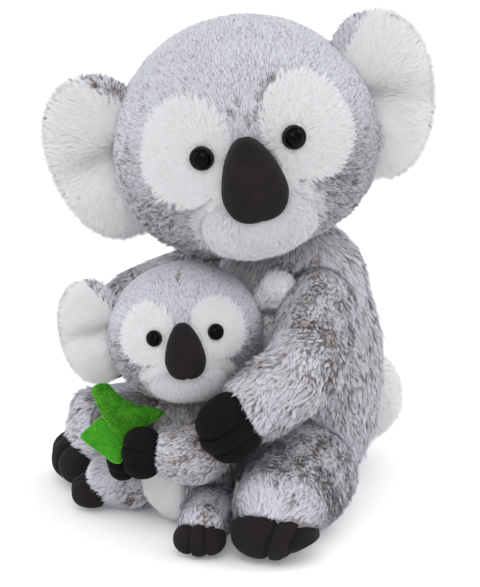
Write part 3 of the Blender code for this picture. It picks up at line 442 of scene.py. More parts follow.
# Colours run from a strand's brown root to its tip
GREY = fur_material("grey_fur", (
    (0.0, (0.12, 0.084, 0.067)), (0.2, (0.29, 0.238, 0.212)),
    (0.42, (0.65, 0.65, 0.715)), (1.0, (0.85, 0.862, 0.94)),
), mottle=0.14, scale=55.0, shades=(0.8, 1.08))
BODY_GREY = fur_material("body_fur", (
    (0.0, (0.13, 0.094, 0.078)), (0.18, (0.34, 0.298, 0.285)),
    (0.42, (0.63, 0.63, 0.695)), (1.0, (0.8, 0.815, 0.9)),
), mottle=0.12, scale=45.0, shades=(0.8, 1.08))
# Partly painted shade: the cheeks' own browner streaky pile, darkened further as shade under the chin and
# along the lower face
SHADED_CHEEK_GREY = fur_material("cheek_fur", (
    (0.0, (0.08, 0.06, 0.052)), (0.2, (0.24, 0.215, 0.215)),
    (0.46, (0.43, 0.43, 0.478)), (1.0, (0.6, 0.61, 0.68)),
), mottle=0.13, scale=60.0, shades=(0.8, 1.1))
SMOOTH_GREY = fur_material("smooth_grey_fur", (
    (0.0, (0.13, 0.097, 0.083)), (0.18, (0.34, 0.315, 0.325)), (0.34, (0.58, 0.58, 0.64)),
    (0.55, (0.655, 0.665, 0.735)), (1.0, (0.735, 0.75, 0.835)),
), mottle=0.08, shades=(0.84, 1.08))
WHITE = fur_material("white_fur", (
    (0.0, (0.8, 0.79, 0.77)), (0.4, (0.89, 0.89, 0.89)), (1.0, (0.94, 0.95, 0.96)),
), mottle=0.05, sheen=0.05, shades=(0.9, 1.03))
# Painted shade: a dimmer copy of the white fur, for the eye patches
SHADED_FACE_WHITE = fur_material("face_white_fur", (
    (0.0, (0.72, 0.71, 0.7)), (0.4, (0.8, 0.8, 0.81)), (1.0, (0.855, 0.865, 0.885)),
), mottle=0.05, sheen=0.05, shades=(0.92, 1.03))
# Painted shade: a darker copy of the white fur, with dark roots, for the muzzle's shaded lower side
SHADED_MUZZLE_WHITE = fur_material("muzzle_white_fur", (
    (0.0, (0.42, 0.41, 0.415)), (0.35, (0.64, 0.64, 0.66)), (1.0, (0.8, 0.81, 0.835)),
), mottle=0.08, sheen=0.05, shades=(0.88, 1.05))
GREEN = fur_material("leaf_pile", (
    (0.0, (0.014, 0.1, 0.004)), (0.4, (0.055, 0.3, 0.012)), (1.0, (0.16, 0.58, 0.035)),
), mottle=0.3, sheen=0.0, scale=230.0)
GREEN_EDGE = cloth_material("leaf_seam", (0.1, 0.38, 0.03), (0.16, 0.5, 0.05))
GREEN_CLOTH = cloth_material("leaf_cloth", (0.03, 0.24, 0.01), (0.05, 0.34, 0.015))
SUEDE_GRAIN = {"bump": 0.35, "scale": 3200.0}
SUEDE = cloth_material("suede", (0.0065, 0.0048, 0.0058), (0.0155, 0.0115, 0.0132), sheen=0.03, **SUEDE_GRAIN)
PAW_SUEDE = cloth_material(
    "paw_suede", (0.0025, 0.0018, 0.0022), (0.007, 0.005, 0.006), sheen=0.01, gloss=0.14, **SUEDE_GRAIN
)
DARK_BACKING = cloth_material("grey_backing", (0.24, 0.215, 0.21), (0.34, 0.32, 0.325))
HEAD_BACKING = cloth_material("head_backing", (0.34, 0.325, 0.335), (0.44, 0.425, 0.44))
MID_BACKING = cloth_material("ear_backing", (0.5, 0.49, 0.51), (0.6, 0.59, 0.62))
LIGHT_BACKING = cloth_material("white_backing", (0.8, 0.8, 0.78), (0.88, 0.88, 0.87))
PANEL_CLOTH = cloth_material("base_cloth", (0.3, 0.29, 0.3), (0.4, 0.39, 0.41))
BAG_CLOTH = cloth_material("bag_cloth", (0.68, 0.65, 0.58), (0.8, 0.77, 0.7), scale=1400.0)
WASHER = plastic_material("washer_plastic", (0.7, 0.7, 0.67), 0.45)
EYE = plastic_material("eye_gloss", (0.001, 0.001, 0.0012), 0.04, grain=0.0, gloss=0.07)
EYE_RIM = plastic_material("eye_rim", (0.004, 0.004, 0.0045), 0.3, gloss=0.2)

# Looks of the pile: its length, lift, strand width and how it strays, parts, bends and darkens
# pale shifts a look's strands toward their tips' colour and dark gives more strands with brown roots; set
# part by part, a larger pale is painted light (body, legs, the baby's crown) and a smaller pale with more
# dark strands is painted shade (cheeks, the baby's arm)
PILE = dict(bend=0.5, droop=0.15, roll=0.3, rough=1.0, dark=0.0, pale=0.0, soft=0.75)
LONG = dict(
    PILE, length=5.6 * MM, lift=0.36, tuft=8, pull=0.45, width=0.265 * MM, stray=0.38, part=0.5,
    loose=0.12, dark=0.18, pale=0.1,
)
BODY = dict(LONG, length=5.8 * MM, lift=0.29, stray=0.28, part=0.35, loose=0.1, dark=0.17, pale=0.17)
CHEEK = dict(
    LONG, length=5.2 * MM, lift=0.2, tuft=12, stray=0.16, part=0.25, loose=0.07, dark=0.22, pale=0.0,
    soft=0.85,
)
# Painted light: the legs take a paler copy of the grey pile
LEG = dict(LONG, pale=0.24)
SHORT = dict(
    PILE, length=4.6 * MM, lift=0.15, tuft=5, pull=0.3, width=0.26 * MM, bend=0.4, droop=0.05,
    stray=0.09, part=0.12, loose=0.04, dark=0.02, rough=0.4, soft=0.92, pale=0.05,
)
WHITE_LONG = dict(
    PILE, length=6.2 * MM, lift=0.38, tuft=6, pull=0.22, width=0.22 * MM, bend=0.6, droop=0.1,
    stray=0.16, part=0.15, loose=0.09, soft=0.94, roll=0.2, rough=0.4,
)
MUZZLE = dict(
    WHITE_LONG, length=7.0 * MM, lift=0.3, pull=0.45, width=0.26 * MM, stray=0.3, part=0.3,
    loose=0.1,
)
TAIL = dict(WHITE_LONG, length=8 * MM, stray=0.4, width=0.27 * MM)
LEAF_PILE = dict(
    PILE, length=1.7 * MM, lift=0.55, tuft=9, pull=0.45, width=0.24 * MM, bend=0.4, droop=0.0,
    stray=0.6, part=0.8, loose=0.22, soft=0.6, roll=0.5,
)
BABY_LONG = dict(LONG, length=4.6 * MM, width=0.24 * MM)
BABY_CHEEK = dict(CHEEK, length=3.8 * MM, width=0.25 * MM)
BABY_SHORT = dict(SHORT, length=3.6 * MM, width=0.22 * MM, pale=0.1)
BABY_WHITE = dict(WHITE_LONG, length=4.4 * MM, width=0.2 * MM)
BABY_MUZZLE = dict(MUZZLE, length=4.8 * MM, width=0.22 * MM)
BABY_LEG = dict(BABY_LONG, pale=0.24)
# Painted shade: the baby's arm takes a darker copy of the grey pile
BABY_ARM = dict(BABY_LONG, pale=-0.06, dark=0.24)

# A strand is a ribbon of a quad and a triangle: two corners at its root, two halfway, one at its tip
STOPS = (0.0, 0.5, 1.0)
TAPER = (1.0, 0.8)
CORNER_STOPS = np.array((0.0, 0.0, 0.5, 0.5, 1.0))
CORNER_SIDES = np.array((0.15, 0.85, 0.15, 0.85, 0.5))
QUAD_AND_TIP = (0, 1, 3, 2, 2, 3, 4)
FACE_STARTS = (0, 4)

# Forms of suede and nose that no strand enters, filled in as they are made
SUEDE_FORMS = []

# Fur


def wave(points, seed, size):
    """Slow noise in -1..1 over points, for the way the pile parts."""
    rng = np.random.default_rng(seed)
    total = np.zeros(len(points))
    for _ in range(6):
        k = unit(rng.normal(size=3)) * 2 * math.pi / (size * rng.uniform(0.7, 1.6))
        total += np.sin(points @ k + rng.uniform(0, 2 * math.pi))
    return total / 3.2


def parting(points, normals):
    """How strongly the pile parts at each point, and the way that it parts there."""
    across = points @ RIGHT / PIXEL + ORIGIN_ACROSS
    down = ORIGIN_DOWN - points @ TOP / PIXEL
    strength, way = np.zeros(len(points)), np.zeros((len(points), 3))
    in_sight = clamp(normals @ VIEW)
    for u, v, reach, degrees in PARTINGS:
        lean = math.radians(degrees)
        beside = (across - u) * math.cos(lean) + (down - v) * math.sin(lean)
        ahead = (down - v) * math.cos(lean) - (across - u) * math.sin(lean)
        near = bell(ahead / reach) * in_sight
        strength = np.maximum(strength, near * bell(beside / (reach * 0.33)))
        push = near * bell(beside / (reach * 0.7)) * np.sign(beside)
        way += push[:, None] * (math.cos(lean) * RIGHT - math.sin(lean) * TOP)
    return strength, way


def name_seed(name):
    value = 7
    for char in name:
        value = (value * 131 + ord(char)) % 1000003
    return value


def scatter(rng, form, count, weight, inside):
    """Roots and normals spread over a form by area and weight, where no other form covers it."""
    chance = form.area.copy()
    centre = form.verts[form.tris].mean(1)
    if weight:
        chance *= np.clip(weight(centre, unit(form.normals[form.tris].mean(1))), 0, 1)
    for other in inside:
        chance *= other.distance(centre) > 0
    pick = rng.choice(len(chance), size=count, p=chance / chance.sum())
    bary = rng.dirichlet((1, 1, 1), size=count)
    tri = form.tris[pick]
    root = np.einsum("ij,ijk->ik", bary, form.verts[tri])
    return root, unit(np.einsum("ij,ijk->ik", bary, form.normals[tri]))


def gather(root, tufts):
    """The nearest tuft of each strand. The first strands lead the tufts."""
    tree = KDTree(tufts)
    for i in range(tufts):
        tree.insert(root[i], i)
    tree.balance()
    return np.fromiter((tree.find(point)[1] for point in root), int, len(root))


def grow_strands(rng, look, comb, root, normal, owner, tufts):
    """Each strand's root, middle and tip, how rough the pile is there and how strongly it parts."""
    parted, part_way = parting(root, normal)
    flow = comb(root, normal) + part_way * 0.9
    flow = unit(flow - normal * (flow * normal).sum(1)[:, None])
    side = np.cross(normal, flow)
    rough = clamp(0.5 + 0.75 * wave(root, 5, 0.04) + 0.45 * wave(root, 8, 0.012))
    rough = 1 + (rough - 0.5) * look["rough"]
    turn = rng.normal(0, look["stray"], tufts)[owner] * rough + wave(root, 3, 0.022) * look["part"]
    tuft_lift = rng.normal(0, 0.1, tufts)[owner]
    lift = np.clip((look["lift"] + tuft_lift) * rough + 0.15 * parted, 0.06, 1)[:, None]
    heading = flow * np.cos(turn)[:, None] + side * np.sin(turn)[:, None]
    loose = rng.normal(0, look["loose"], (len(root), 3))
    first = unit(normal * lift + heading * np.sqrt(1 - lift**2) + loose)
    late = unit(first + heading * look["bend"] - UP * look["droop"] + loose * 0.5)
    tuft_scale = rng.uniform(0.8, 1.15, tufts)[owner]
    length = (look["length"] * tuft_scale * rng.uniform(0.72, 1.12, len(root)))[:, None]
    spots = []
    for t in STOPS:
        own = root + length * (first * t * (1 - t / 2) + late * t * t / 2)
        spots.append(own + (own[owner] - own) * look["pull"] * t**1.1)
    return spots, rough, parted


def is_clear(spots, root, inside, avoid):
    """Whether each strand stays out of suede, eyes, other forms and the ground."""
    keep = np.ones(len(root), bool)
    for spot in spots[1:]:
        keep &= spot[:, 2] > STRAND_FLOOR
        for other in (*SUEDE_FORMS, *avoid):
            keep &= other.distance(spot) > SUEDE_CLEAR
    for other in inside:
        keep &= other.distance(root) > 0
    return keep


def ribbons(rng, look, spots, normal):
    """Corners of the strands, strand by strand, and a normal for each strand."""
    along_it = unit(spots[-1] - spots[0])
    across = unit(np.cross(along_it, normal))
    rise = np.cross(across, along_it)
    roll = rng.normal(0, look["roll"], len(normal))[:, None]
    across = across * np.cos(roll) + rise * np.sin(roll)
    half = look["width"] / 2 * rng.uniform(0.7, 1.25, len(normal))[:, None]
    corners = []
    for spot, share in zip(spots, TAPER):
        corners += [spot - across * half * share, spot + across * half * share]
    corners.append(spots[-1])
    soft = look["soft"]
    lean = unit(normal * soft + unit(np.cross(across, along_it)) * (1 - soft))
    return np.stack(corners, 1).reshape(-1, 3), lean


def strand_shades(rng, look, owner, tufts, rough, parted, normal):
    """The Strand layer: across it runs a strand's shade, and up it from the root to the tip."""
    count = len(normal)
    tuft_shade = rng.uniform(0, 1, tufts)[owner]
    shade = clamp(0.4 * tuft_shade + 0.6 * rng.uniform(0, 1, count))
    share = look["dark"] * np.clip(rough * 3.2 - 2.7, 0, 2)[:tufts]
    dark = (rng.uniform(0, 1, tufts) < share)[owner] & (rng.uniform(0, 1, count) < 0.8)
    if look["dark"] > 0:
        share = 0.7 * np.minimum(parted, 1.0)[:tufts]
        dark |= (rng.uniform(0, 1, tufts) < share)[owner] & (rng.uniform(0, 1, count) < 0.85)
    reach = np.where(dark, rng.uniform(0.15, 0.45, count), 1.0)
    # Painted light: strands on the side turned away from the camera are painted paler
    pale = np.where(dark, 0.0, look["pale"]) + 0.22 * clamp(0.1 - normal @ VIEW)
    up_strand = CORNER_STOPS * reach[:, None] + pale[:, None]
    return np.stack((np.broadcast_to(shade[:, None], up_strand.shape), up_strand), 2)


def bake_cells(count):
    """The OFBake layer: a cell of its own for each strand."""
    columns = math.ceil(math.sqrt(2.0 * count))
    rows = math.ceil(count / columns)
    cell = np.arange(count)[:, None]
    u = (cell % columns) / columns + CORNER_SIDES / columns
    v = (cell // columns) / rows + (0.1 + 0.8 * CORNER_STOPS) / rows
    return np.stack((u, v), 2)


def strand_mesh(name, verts, lean, layers, material):
    count = len(lean)
    corners = (np.arange(count)[:, None] * len(CORNER_STOPS) + QUAD_AND_TIP).reshape(-1)
    starts = (np.arange(count)[:, None] * len(QUAD_AND_TIP) + FACE_STARTS).reshape(-1)
    mesh = bpy.data.meshes.new(name)
    mesh.vertices.add(len(verts))
    mesh.vertices.foreach_set("co", verts.reshape(-1).astype(np.float32))
    mesh.loops.add(len(corners))
    mesh.loops.foreach_set("vertex_index", corners.astype(np.int32))
    mesh.polygons.add(len(starts))
    mesh.polygons.foreach_set("loop_start", starts.astype(np.int32))
    mesh.polygons.foreach_set("use_smooth", np.ones(len(starts), bool))
    for label, data in layers.items():
        layer = mesh.uv_layers.new(name=label)
        layer.data.foreach_set("uv", data.reshape(-1, 2)[corners].reshape(-1).astype(np.float32))
    mesh.update(calc_edges=True)
    mesh.normals_split_custom_set_from_vertices(np.repeat(lean, len(CORNER_STOPS), 0))
    mesh.materials.append(material)
    return add_object(name, mesh)


def fur(name, form, body, count, look, comb, material, slot, weight=None, inside=(), avoid=()):
    """Strands of pile over a form, gathered in tufts, as one mesh that rides on a body."""
    rng = np.random.default_rng(name_seed(name))
    root, normal = scatter(rng, form, count, weight, inside)
    tufts = count // look["tuft"]
    owner = gather(root, tufts)
    spots, rough, parted = grow_strands(rng, look, comb, root, normal, owner, tufts)
    keep = is_clear(spots, root, inside, avoid)
    spots, normal, owner = [spot[keep] for spot in spots], normal[keep], owner[keep]
    verts, lean = ribbons(rng, look, spots, normal)
    shades = strand_shades(rng, look, owner, tufts, rough, parted, normal)
    layers = {"OFBake": bake_cells(len(normal)), "Strand": shades}
    dress(strand_mesh(name, verts, lean, layers, material), body)


def away_from(point):
    centre = np.array(point)
    return lambda root, normal: unit(root - centre)


def along(direction):
    way = np.array(direction, float)
    return lambda root, normal: np.repeat(way[None], len(root), 0)


def toward_end(start, middle, end):
    """A comb that follows a bent limb from its root to its end."""
    a, b, c = (np.array(p, float) for p in (start, middle, end))

    def comb(root, normal):
        near_end = np.linalg.norm(root - c, axis=1) < np.linalg.norm(root - a, axis=1)
        way = np.where(near_end[:, None], unit(c - b)[None], unit(b - a)[None])
        return unit(way - UP * 0.25)

    return comb


def tail_comb(root, normal):
    return unit(unit(root - TAIL_ROOT) - UP * 0.7)


def rest_of(weight):
    """The weight of what another weight leaves."""
    return lambda points, normals: 1 - weight(points, normals)


# Stage and camera

FLOOR_SIZE = 6.0
CAMERA_DISTANCE, SENSOR_HEIGHT, CLIP_END = 10.0, 24, 40
LAMP_TARGET = Vector((0, 0, 0.14))
LAMPS = (
    ("key", (1.2, -1.3, 1.8), 20.0, 1.5),
    ("fill", (-1.4, -1.3, 1.1), 9.8, 1.6),
    ("back", (0.9, 1.5, 1.8), 15.0, 1.4),
)


def seen_level(nodes, links, low, high, socket):
    """Gives a socket the high value for what the camera sees and the low one for other rays."""
    path = nodes.new("ShaderNodeLightPath")
    level = add(nodes, "ShaderNodeMapRange", To_Min=low, To_Max=high)
    links.new(path.outputs["Is Camera Ray"], level.inputs[0])
    links.new(level.outputs[0], socket)


def set_stage():
    scene = bpy.context.scene
    scene.view_settings.view_transform = "Standard"
    world = bpy.data.worlds.new("studio")
    scene.world = world
    world.use_nodes = True
    background = world.node_tree.nodes["Background"]
    seen_level(world.node_tree.nodes, world.node_tree.links, 0.8, 1.0, background.inputs["Strength"])
    set_inputs(background, {"Color": (1, 1, 1, 1)})

    paper, nodes, links, shader = node_material("floor_paper")
    shine(shader, 0.9, 0.0)
    set_inputs(shader, {"Base Color": (0.93, 0.93, 0.94, 1), "Emission Color": (1, 1, 1, 1)})
    seen_level(nodes, links, 0.0, 0.16, shader.inputs["Emission Strength"])
    corners = [(x * FLOOR_SIZE, y * FLOOR_SIZE, 0) for x, y in ((-1, -1), (1, -1), (1, 1), (-1, 1))]
    mesh_object("floor", corners, [(0, 1, 2, 3)], paper, smooth=False)

    for name, place, power, size in LAMPS:
        data = bpy.data.lights.new(name, "AREA")
        data.energy, data.size = power, size
        lamp = add_object(name, data)
        lamp.location = place
        lamp.rotation_euler = (LAMP_TARGET - Vector(place)).to_track_quat("-Z", "Y").to_euler()


def set_camera():
    """The photograph's camera: far off, so that the view is nearly flat."""
    data = bpy.data.cameras.new("camera")
    data.sensor_fit = "VERTICAL"
    data.sensor_height = SENSOR_HEIGHT
    data.lens = SENSOR_HEIGHT * CAMERA_DISTANCE / (PHOTO_HEIGHT * PIXEL)
    data.clip_end = CLIP_END
    across = (PHOTO_WIDTH / 2 - ORIGIN_ACROSS) * PIXEL
    rise = (ORIGIN_DOWN - PHOTO_HEIGHT / 2) * PIXEL / math.cos(ELEVATION)
    outward = Vector(VIEW)
    camera = add_object("camera", data)
    camera.location = Vector(RIGHT * across) + Vector((0, 0, rise)) + outward * CAMERA_DISTANCE
    camera.rotation_euler = (-outward).to_track_quat("-Z", "Y").to_euler()
    bpy.context.scene.camera = camera


# Heads

HEAD = SimpleNamespace(
    prefix="head", body="head",
    place=frame_at((-0.0035, -0.016, 0.2325), 50, 12),
    half=(0.0815, 0.068, 0.073), power=2.15, cheek_share=0.11,
    inset=2.4 * MM, white_inset=3.2 * MM, band=0.004,
    muzzle_shift=-0.0026, muzzle_forward=0.05, muzzle_drop=0.033, muzzle_half=(0.0364, 0.026, 0.027),
    nose_forward=0.071, nose_drop=0.0035, nose_half=(0.0205, 0.012, 0.0265), nose_seam=0.012,
    patch_side=0.0388, patch_height=0.0172, patch_half=(0.0238, 0.0294), patch_lean=14,
    patch_proud=1.5 * MM, strip_reach=0.004, strip_side=0.031,
    eye_side=0.0277, eye_height=0.0144, eye_radius=0.0075, eye_shift=-0.0004, eye_proud=2.0 * MM,
    crown=(52000, SHORT), cheek=(48000, CHEEK), patch=(34000, WHITE_LONG), muzzle=(42000, MUZZLE), edge=9000,
)
BABY_HEAD = SimpleNamespace(
    prefix="baby", body="baby_head",
    place=frame_at((-0.002, -0.067, 0.12), 45, 6),
    half=(0.048, 0.0435, 0.0435), power=2.0, cheek_share=0.0,
    inset=1.8 * MM, white_inset=2.2 * MM, band=0.003,
    muzzle_shift=0.0, muzzle_forward=0.03, muzzle_drop=0.017, muzzle_half=(0.0245, 0.016, 0.0155),
    nose_forward=0.044, nose_drop=-0.004, nose_half=(0.0125, 0.008, 0.0175), nose_seam=0.045,
    patch_side=0.0225, patch_height=0.014, patch_half=(0.0145, 0.0165), patch_lean=12,
    patch_proud=1.2 * MM, strip_reach=0.0045, strip_side=0.04,
    eye_side=0.018, eye_height=0.0121, eye_radius=0.005, eye_shift=0.0011, eye_proud=1.6 * MM,
    crown=(24000, BABY_SHORT), cheek=(24000, BABY_CHEEK), patch=(16000, BABY_WHITE),
    muzzle=(19000, BABY_MUZZLE), edge=4500,
)
SOFT_EDGE = 0.004
PATCH_SOFT, PATCH_POWER = 0.1, 2.2
NOSE_TOP_SHARE = 0.5
EYE_ROOM = 1.02
EYE_SEGMENTS = 40
RIM_SHARES = (
    (0.4, -0.5), (0.9, -0.4), (1.0, -0.15), (1.0, 0.05), (0.95, 0.16), (0.86, 0.22), (0.78, 0.2),
    (0.74, 0.12), (0.72, -0.2),
)


def surface_spot(head, side, height, proud=0.0):
    """A place on a head's front whose +Z runs outward."""
    half, power = head.half, head.power
    left = 1 - abs(side / half[0]) ** power - abs(height / half[2]) ** power
    depth = half[1] * left ** (1 / power)
    slope = Vector((
        math.copysign(abs(side / half[0]) ** (power - 1), side) / half[0],
        -((depth / half[1]) ** (power - 1)) / half[1],
        math.copysign(abs(height / half[2]) ** (power - 1), height) / half[2],
    )).normalized()
    return head.place @ facing(Vector((side, -depth, height)) + slope * proud, slope)


def nose_shape(half, seam):
    """Narrows a nose toward its top, with a crease down its lower half."""
    def shape(local):
        level = local[:, 2] / half[2]
        narrow = 1 - (1 - NOSE_TOP_SHARE) * clamp((level + 0.35) / 1.35) ** 1.3
        crease = bell(local[:, 0] / half[0] / 0.07) * clamp(-level * 2.2 - 0.2)
        local = local * (1 - seam * crease)[:, None]
        local[:, 0] *= narrow
        return local

    return shape


def turned_rings(outline):
    """Corners and faces of an outline of (radius, height) points turned round +Z."""
    verts = []
    for radius, height in outline:
        for i in range(EYE_SEGMENTS):
            a = 2 * math.pi * i / EYE_SEGMENTS
            verts.append((radius * math.cos(a), radius * math.sin(a), height))
    return verts, ring_faces(len(outline), EYE_SEGMENTS)


def eye(name, place, radius, body):
    """A glossy dome inside a low rim."""
    verts, faces = turned_rings([(radius * r, radius * h) for r, h in RIM_SHARES])
    rim = mesh_object(f"{name}_ball_rim", moved(place, np.array(verts)), faces, EYE_RIM)
    dress(rim, body)
    arc = np.linspace(-0.3, math.pi / 2 - 0.02, 14)
    dome = [(radius * 0.77 * math.cos(a), radius * (0.12 + 0.48 * math.sin(a))) for a in arc]
    verts, faces = turned_rings(dome)
    last = len(verts) - EYE_SEGMENTS
    faces += [(last + i, last + (i + 1) % EYE_SEGMENTS, len(verts)) for i in range(EYE_SEGMENTS)]
    verts.append((0, 0, radius * 0.6))
    ball = mesh_object(f"{name}_ball", moved(place, np.array(verts)), faces, EYE)
    dress(ball, body, name)


class Head:
    """One head: its forms, where its pile is white, and its skins, fur, nose and eyes."""

    def __init__(self, sizes):
        s = self.sizes = sizes
        self.shell = egg(s.half, s.place, s.power, s.cheek_share, grow=-s.inset)
        self.patch = egg(s.half, s.place, s.power, s.cheek_share, grow=-s.white_inset + s.patch_proud)
        muzzle_at = s.place @ Matrix.Translation((s.muzzle_shift, -s.muzzle_forward, -s.muzzle_drop))
        self.muzzle = egg(s.muzzle_half, muzzle_at, 2.3, grow=-s.white_inset)
        self.nose_at = s.place @ Matrix.Translation((s.muzzle_shift * 0.8, -s.nose_forward, -s.nose_drop))
        self.nose = egg(s.nose_half, self.nose_at, 2.8, shape=nose_shape(s.nose_half, s.nose_seam))
        self.nose_top = s.nose_half[2] * 0.1 - s.nose_drop
        self.comb_centre = np.array(s.place @ Vector((0, -s.half[1] * 0.9, -s.half[2] * 0.02)))
        self.patch_places = {}
        for _, side in SIDES:
            spot = surface_spot(s, s.patch_side * side, s.patch_height)
            self.patch_places[side] = spot @ turned(s.patch_lean * side, "Z")

    def whiteness(self, points, side):
        """1 in a patch, in the strip from it to the muzzle and beside the nose, with a soft border."""
        s = self.sizes
        p = local_points(self.patch_places[side], points)
        q = local_points(s.place, points)
        own_side = q[:, 0] * side > -0.002
        across, up = np.abs(p[:, 0] / s.patch_half[0]), np.abs(p[:, 1] / s.patch_half[1])
        f = (across**PATCH_POWER + up**PATCH_POWER) ** (1 / PATCH_POWER)
        patch = clamp((1.0 + PATCH_SOFT - f) / (2 * PATCH_SOFT))
        strip = clamp(1.5 - self.muzzle.distance(points) / s.strip_reach) * own_side
        strip *= clamp((q[:, 2] + s.muzzle_drop * 0.9) / SOFT_EDGE)
        strip *= clamp((s.strip_side - np.abs(q[:, 0])) / SOFT_EDGE)
        beside = clamp(1.7 - self.nose.distance(points) / s.band) * own_side
        beside *= clamp((self.nose_top - q[:, 2]) / SOFT_EDGE)
        return np.maximum(np.maximum(patch, strip), beside) * (q[:, 1] < 0)

    def muzzle_band(self, points, normals):
        """1 at the muzzle's edge on the head, falling to 0 over a soft band."""
        return clamp(1 - self.muzzle.distance(points) / self.sizes.band)

    def grey_part(self, side, crown):
        """The weight of the grey pile of one side, above or below a soft line across the face."""
        def weight(points, normals):
            s = self.sizes
            grey = 1 - np.maximum(self.whiteness(points, -1), self.whiteness(points, 1))
            grey = grey * (1 - self.muzzle_band(points, normals)) * (self.muzzle.distance(points) > -0.001)
            p = local_points(s.place, points)
            above = clamp(0.5 + (p[:, 2] / s.half[2] - 0.06) / 0.55)
            return grey * (above if crown else 1 - above) * (p[:, 0] * side >= 0)

        return weight

    def skins(self):
        s = self.sizes
        wide, deep, high = s.nose_half
        SUEDE_FORMS.append(egg((wide * 0.74, deep, high * 0.94), self.nose_at, 2.3, grow=-0.8 * MM))
        skin(f"{s.body}_skin", self.shell, s.body, HEAD_BACKING, s.body)
        muzzle, nose = f"{s.prefix}_muzzle", f"{s.prefix}_nose"
        skin(f"{muzzle}_skin", self.muzzle, s.body, LIGHT_BACKING, muzzle)
        skin(f"{nose}_suede", self.nose, s.body, SUEDE, nose)

    def grey_fur(self):
        s = self.sizes
        comb = away_from(self.comb_centre)
        for side_name, side in SIDES:
            # Below the line across the face the pile takes the darker cheek grey, partly painted shade
            for label, pile, material in (("crown", s.crown, SMOOTH_GREY), ("cheek", s.cheek, SHADED_CHEEK_GREY)):
                weight = self.grey_part(side, label == "crown")
                name = f"{s.body}_fur_{label}_{side_name}"
                fur(name, self.shell, s.body, *pile, comb, material, "grey_plush", weight)

    def eye_patch(self, side_name, side):
        """The white patch of one side, with its fur and the eye in it."""
        s = self.sizes
        name = f"{s.prefix}_eye_patch_{side_name}"
        spot = surface_spot(s, s.eye_side * side + s.eye_shift, s.eye_height, s.eye_proud)
        centre = np.array(spot.translation)
        room = s.eye_radius * EYE_ROOM

        def clear(points, normals):
            return self.whiteness(points, side) * (np.linalg.norm(points - centre, axis=1) > room)

        def comb(root, normal):
            return unit(unit(root - centre) + unit(root - self.comb_centre) * 0.6)

        pad(f"{name}_skin", self.patch, self.whiteness(self.patch.verts, side) > 0.4, s.body, name)
        eye_room = egg((room, room, s.eye_radius * 2.4), spot, 2.0)
        # The patch takes the dimmer copy of the white fur, painted shade
        fur(f"{name}_fur", self.patch, s.body, *s.patch, comb, SHADED_FACE_WHITE, "white_plush", clear,
            inside=(self.muzzle,), avoid=(eye_room,))
        eye(f"{s.prefix}_eye_{side_name}", spot, s.eye_radius, s.body)

    def muzzle_fur(self):
        """The muzzle's pile, and that of the head round its edge."""
        s = self.sizes
        comb = away_from(self.nose_at @ Vector((0, 0.012, 0.004)))
        name = f"{s.prefix}_muzzle"
        # The muzzle and the head round its edge take the darker muzzle white, painted shade
        fur(f"{name}_fur", self.muzzle, s.body, *s.muzzle, comb, SHADED_MUZZLE_WHITE, "white_plush",
            inside=(self.shell,))
        fur(f"{name}_edge_fur", self.shell, s.body, s.edge, s.muzzle[1], comb, SHADED_MUZZLE_WHITE, "white_plush",
            self.muzzle_band, inside=(self.muzzle,))

    def build(self):
        self.skins()
        self.grey_fur()
        for side_name, side in SIDES:
            self.eye_patch(side_name, side)
        self.muzzle_fur()


# Ears

EARS = SimpleNamespace(
    prefix="head", head=HEAD, out=0.0825, height=0.0025, back=0.01, half=(0.035, 0.011, 0.0535),
    lean=9, inset=3.0 * MM, bodies={"left": "ear_left", "right": "ear_right"},
    white=(52000, {**WHITE_LONG, "length": 7.5 * MM}), grey=(30000, LONG), left_share=1.0,
)
BABY_EARS = SimpleNamespace(
    prefix="baby", head=BABY_HEAD, out=0.0545, height=0.005, back=0.004, half=(0.021, 0.0075, 0.0335),
    lean=6, inset=2.2 * MM, bodies={"left": "baby_head", "right": "baby_ear_right"},
    white=(27000, {**BABY_WHITE, "length": 5.2 * MM}), grey=(14000, BABY_LONG), left_share=0.8,
)
LINING_PROUD = 0.6 * MM
EAR_ROOT_DEPTH = 0.01


def ear_shape(half, side):
    """A shallow cup in front with a pinched fold from the root outwards."""
    def shape(local):
        local = local.copy()
        front = clamp(-local[:, 1] / half[1])
        inward = -local[:, 0] * side / half[0]
        fold = bell((local[:, 2] / half[2] + 0.05) / 0.16) * clamp(0.75 + inward * 0.5)
        local[:, 1] += front * fold * half[1] * 1.1
        return local

    return shape


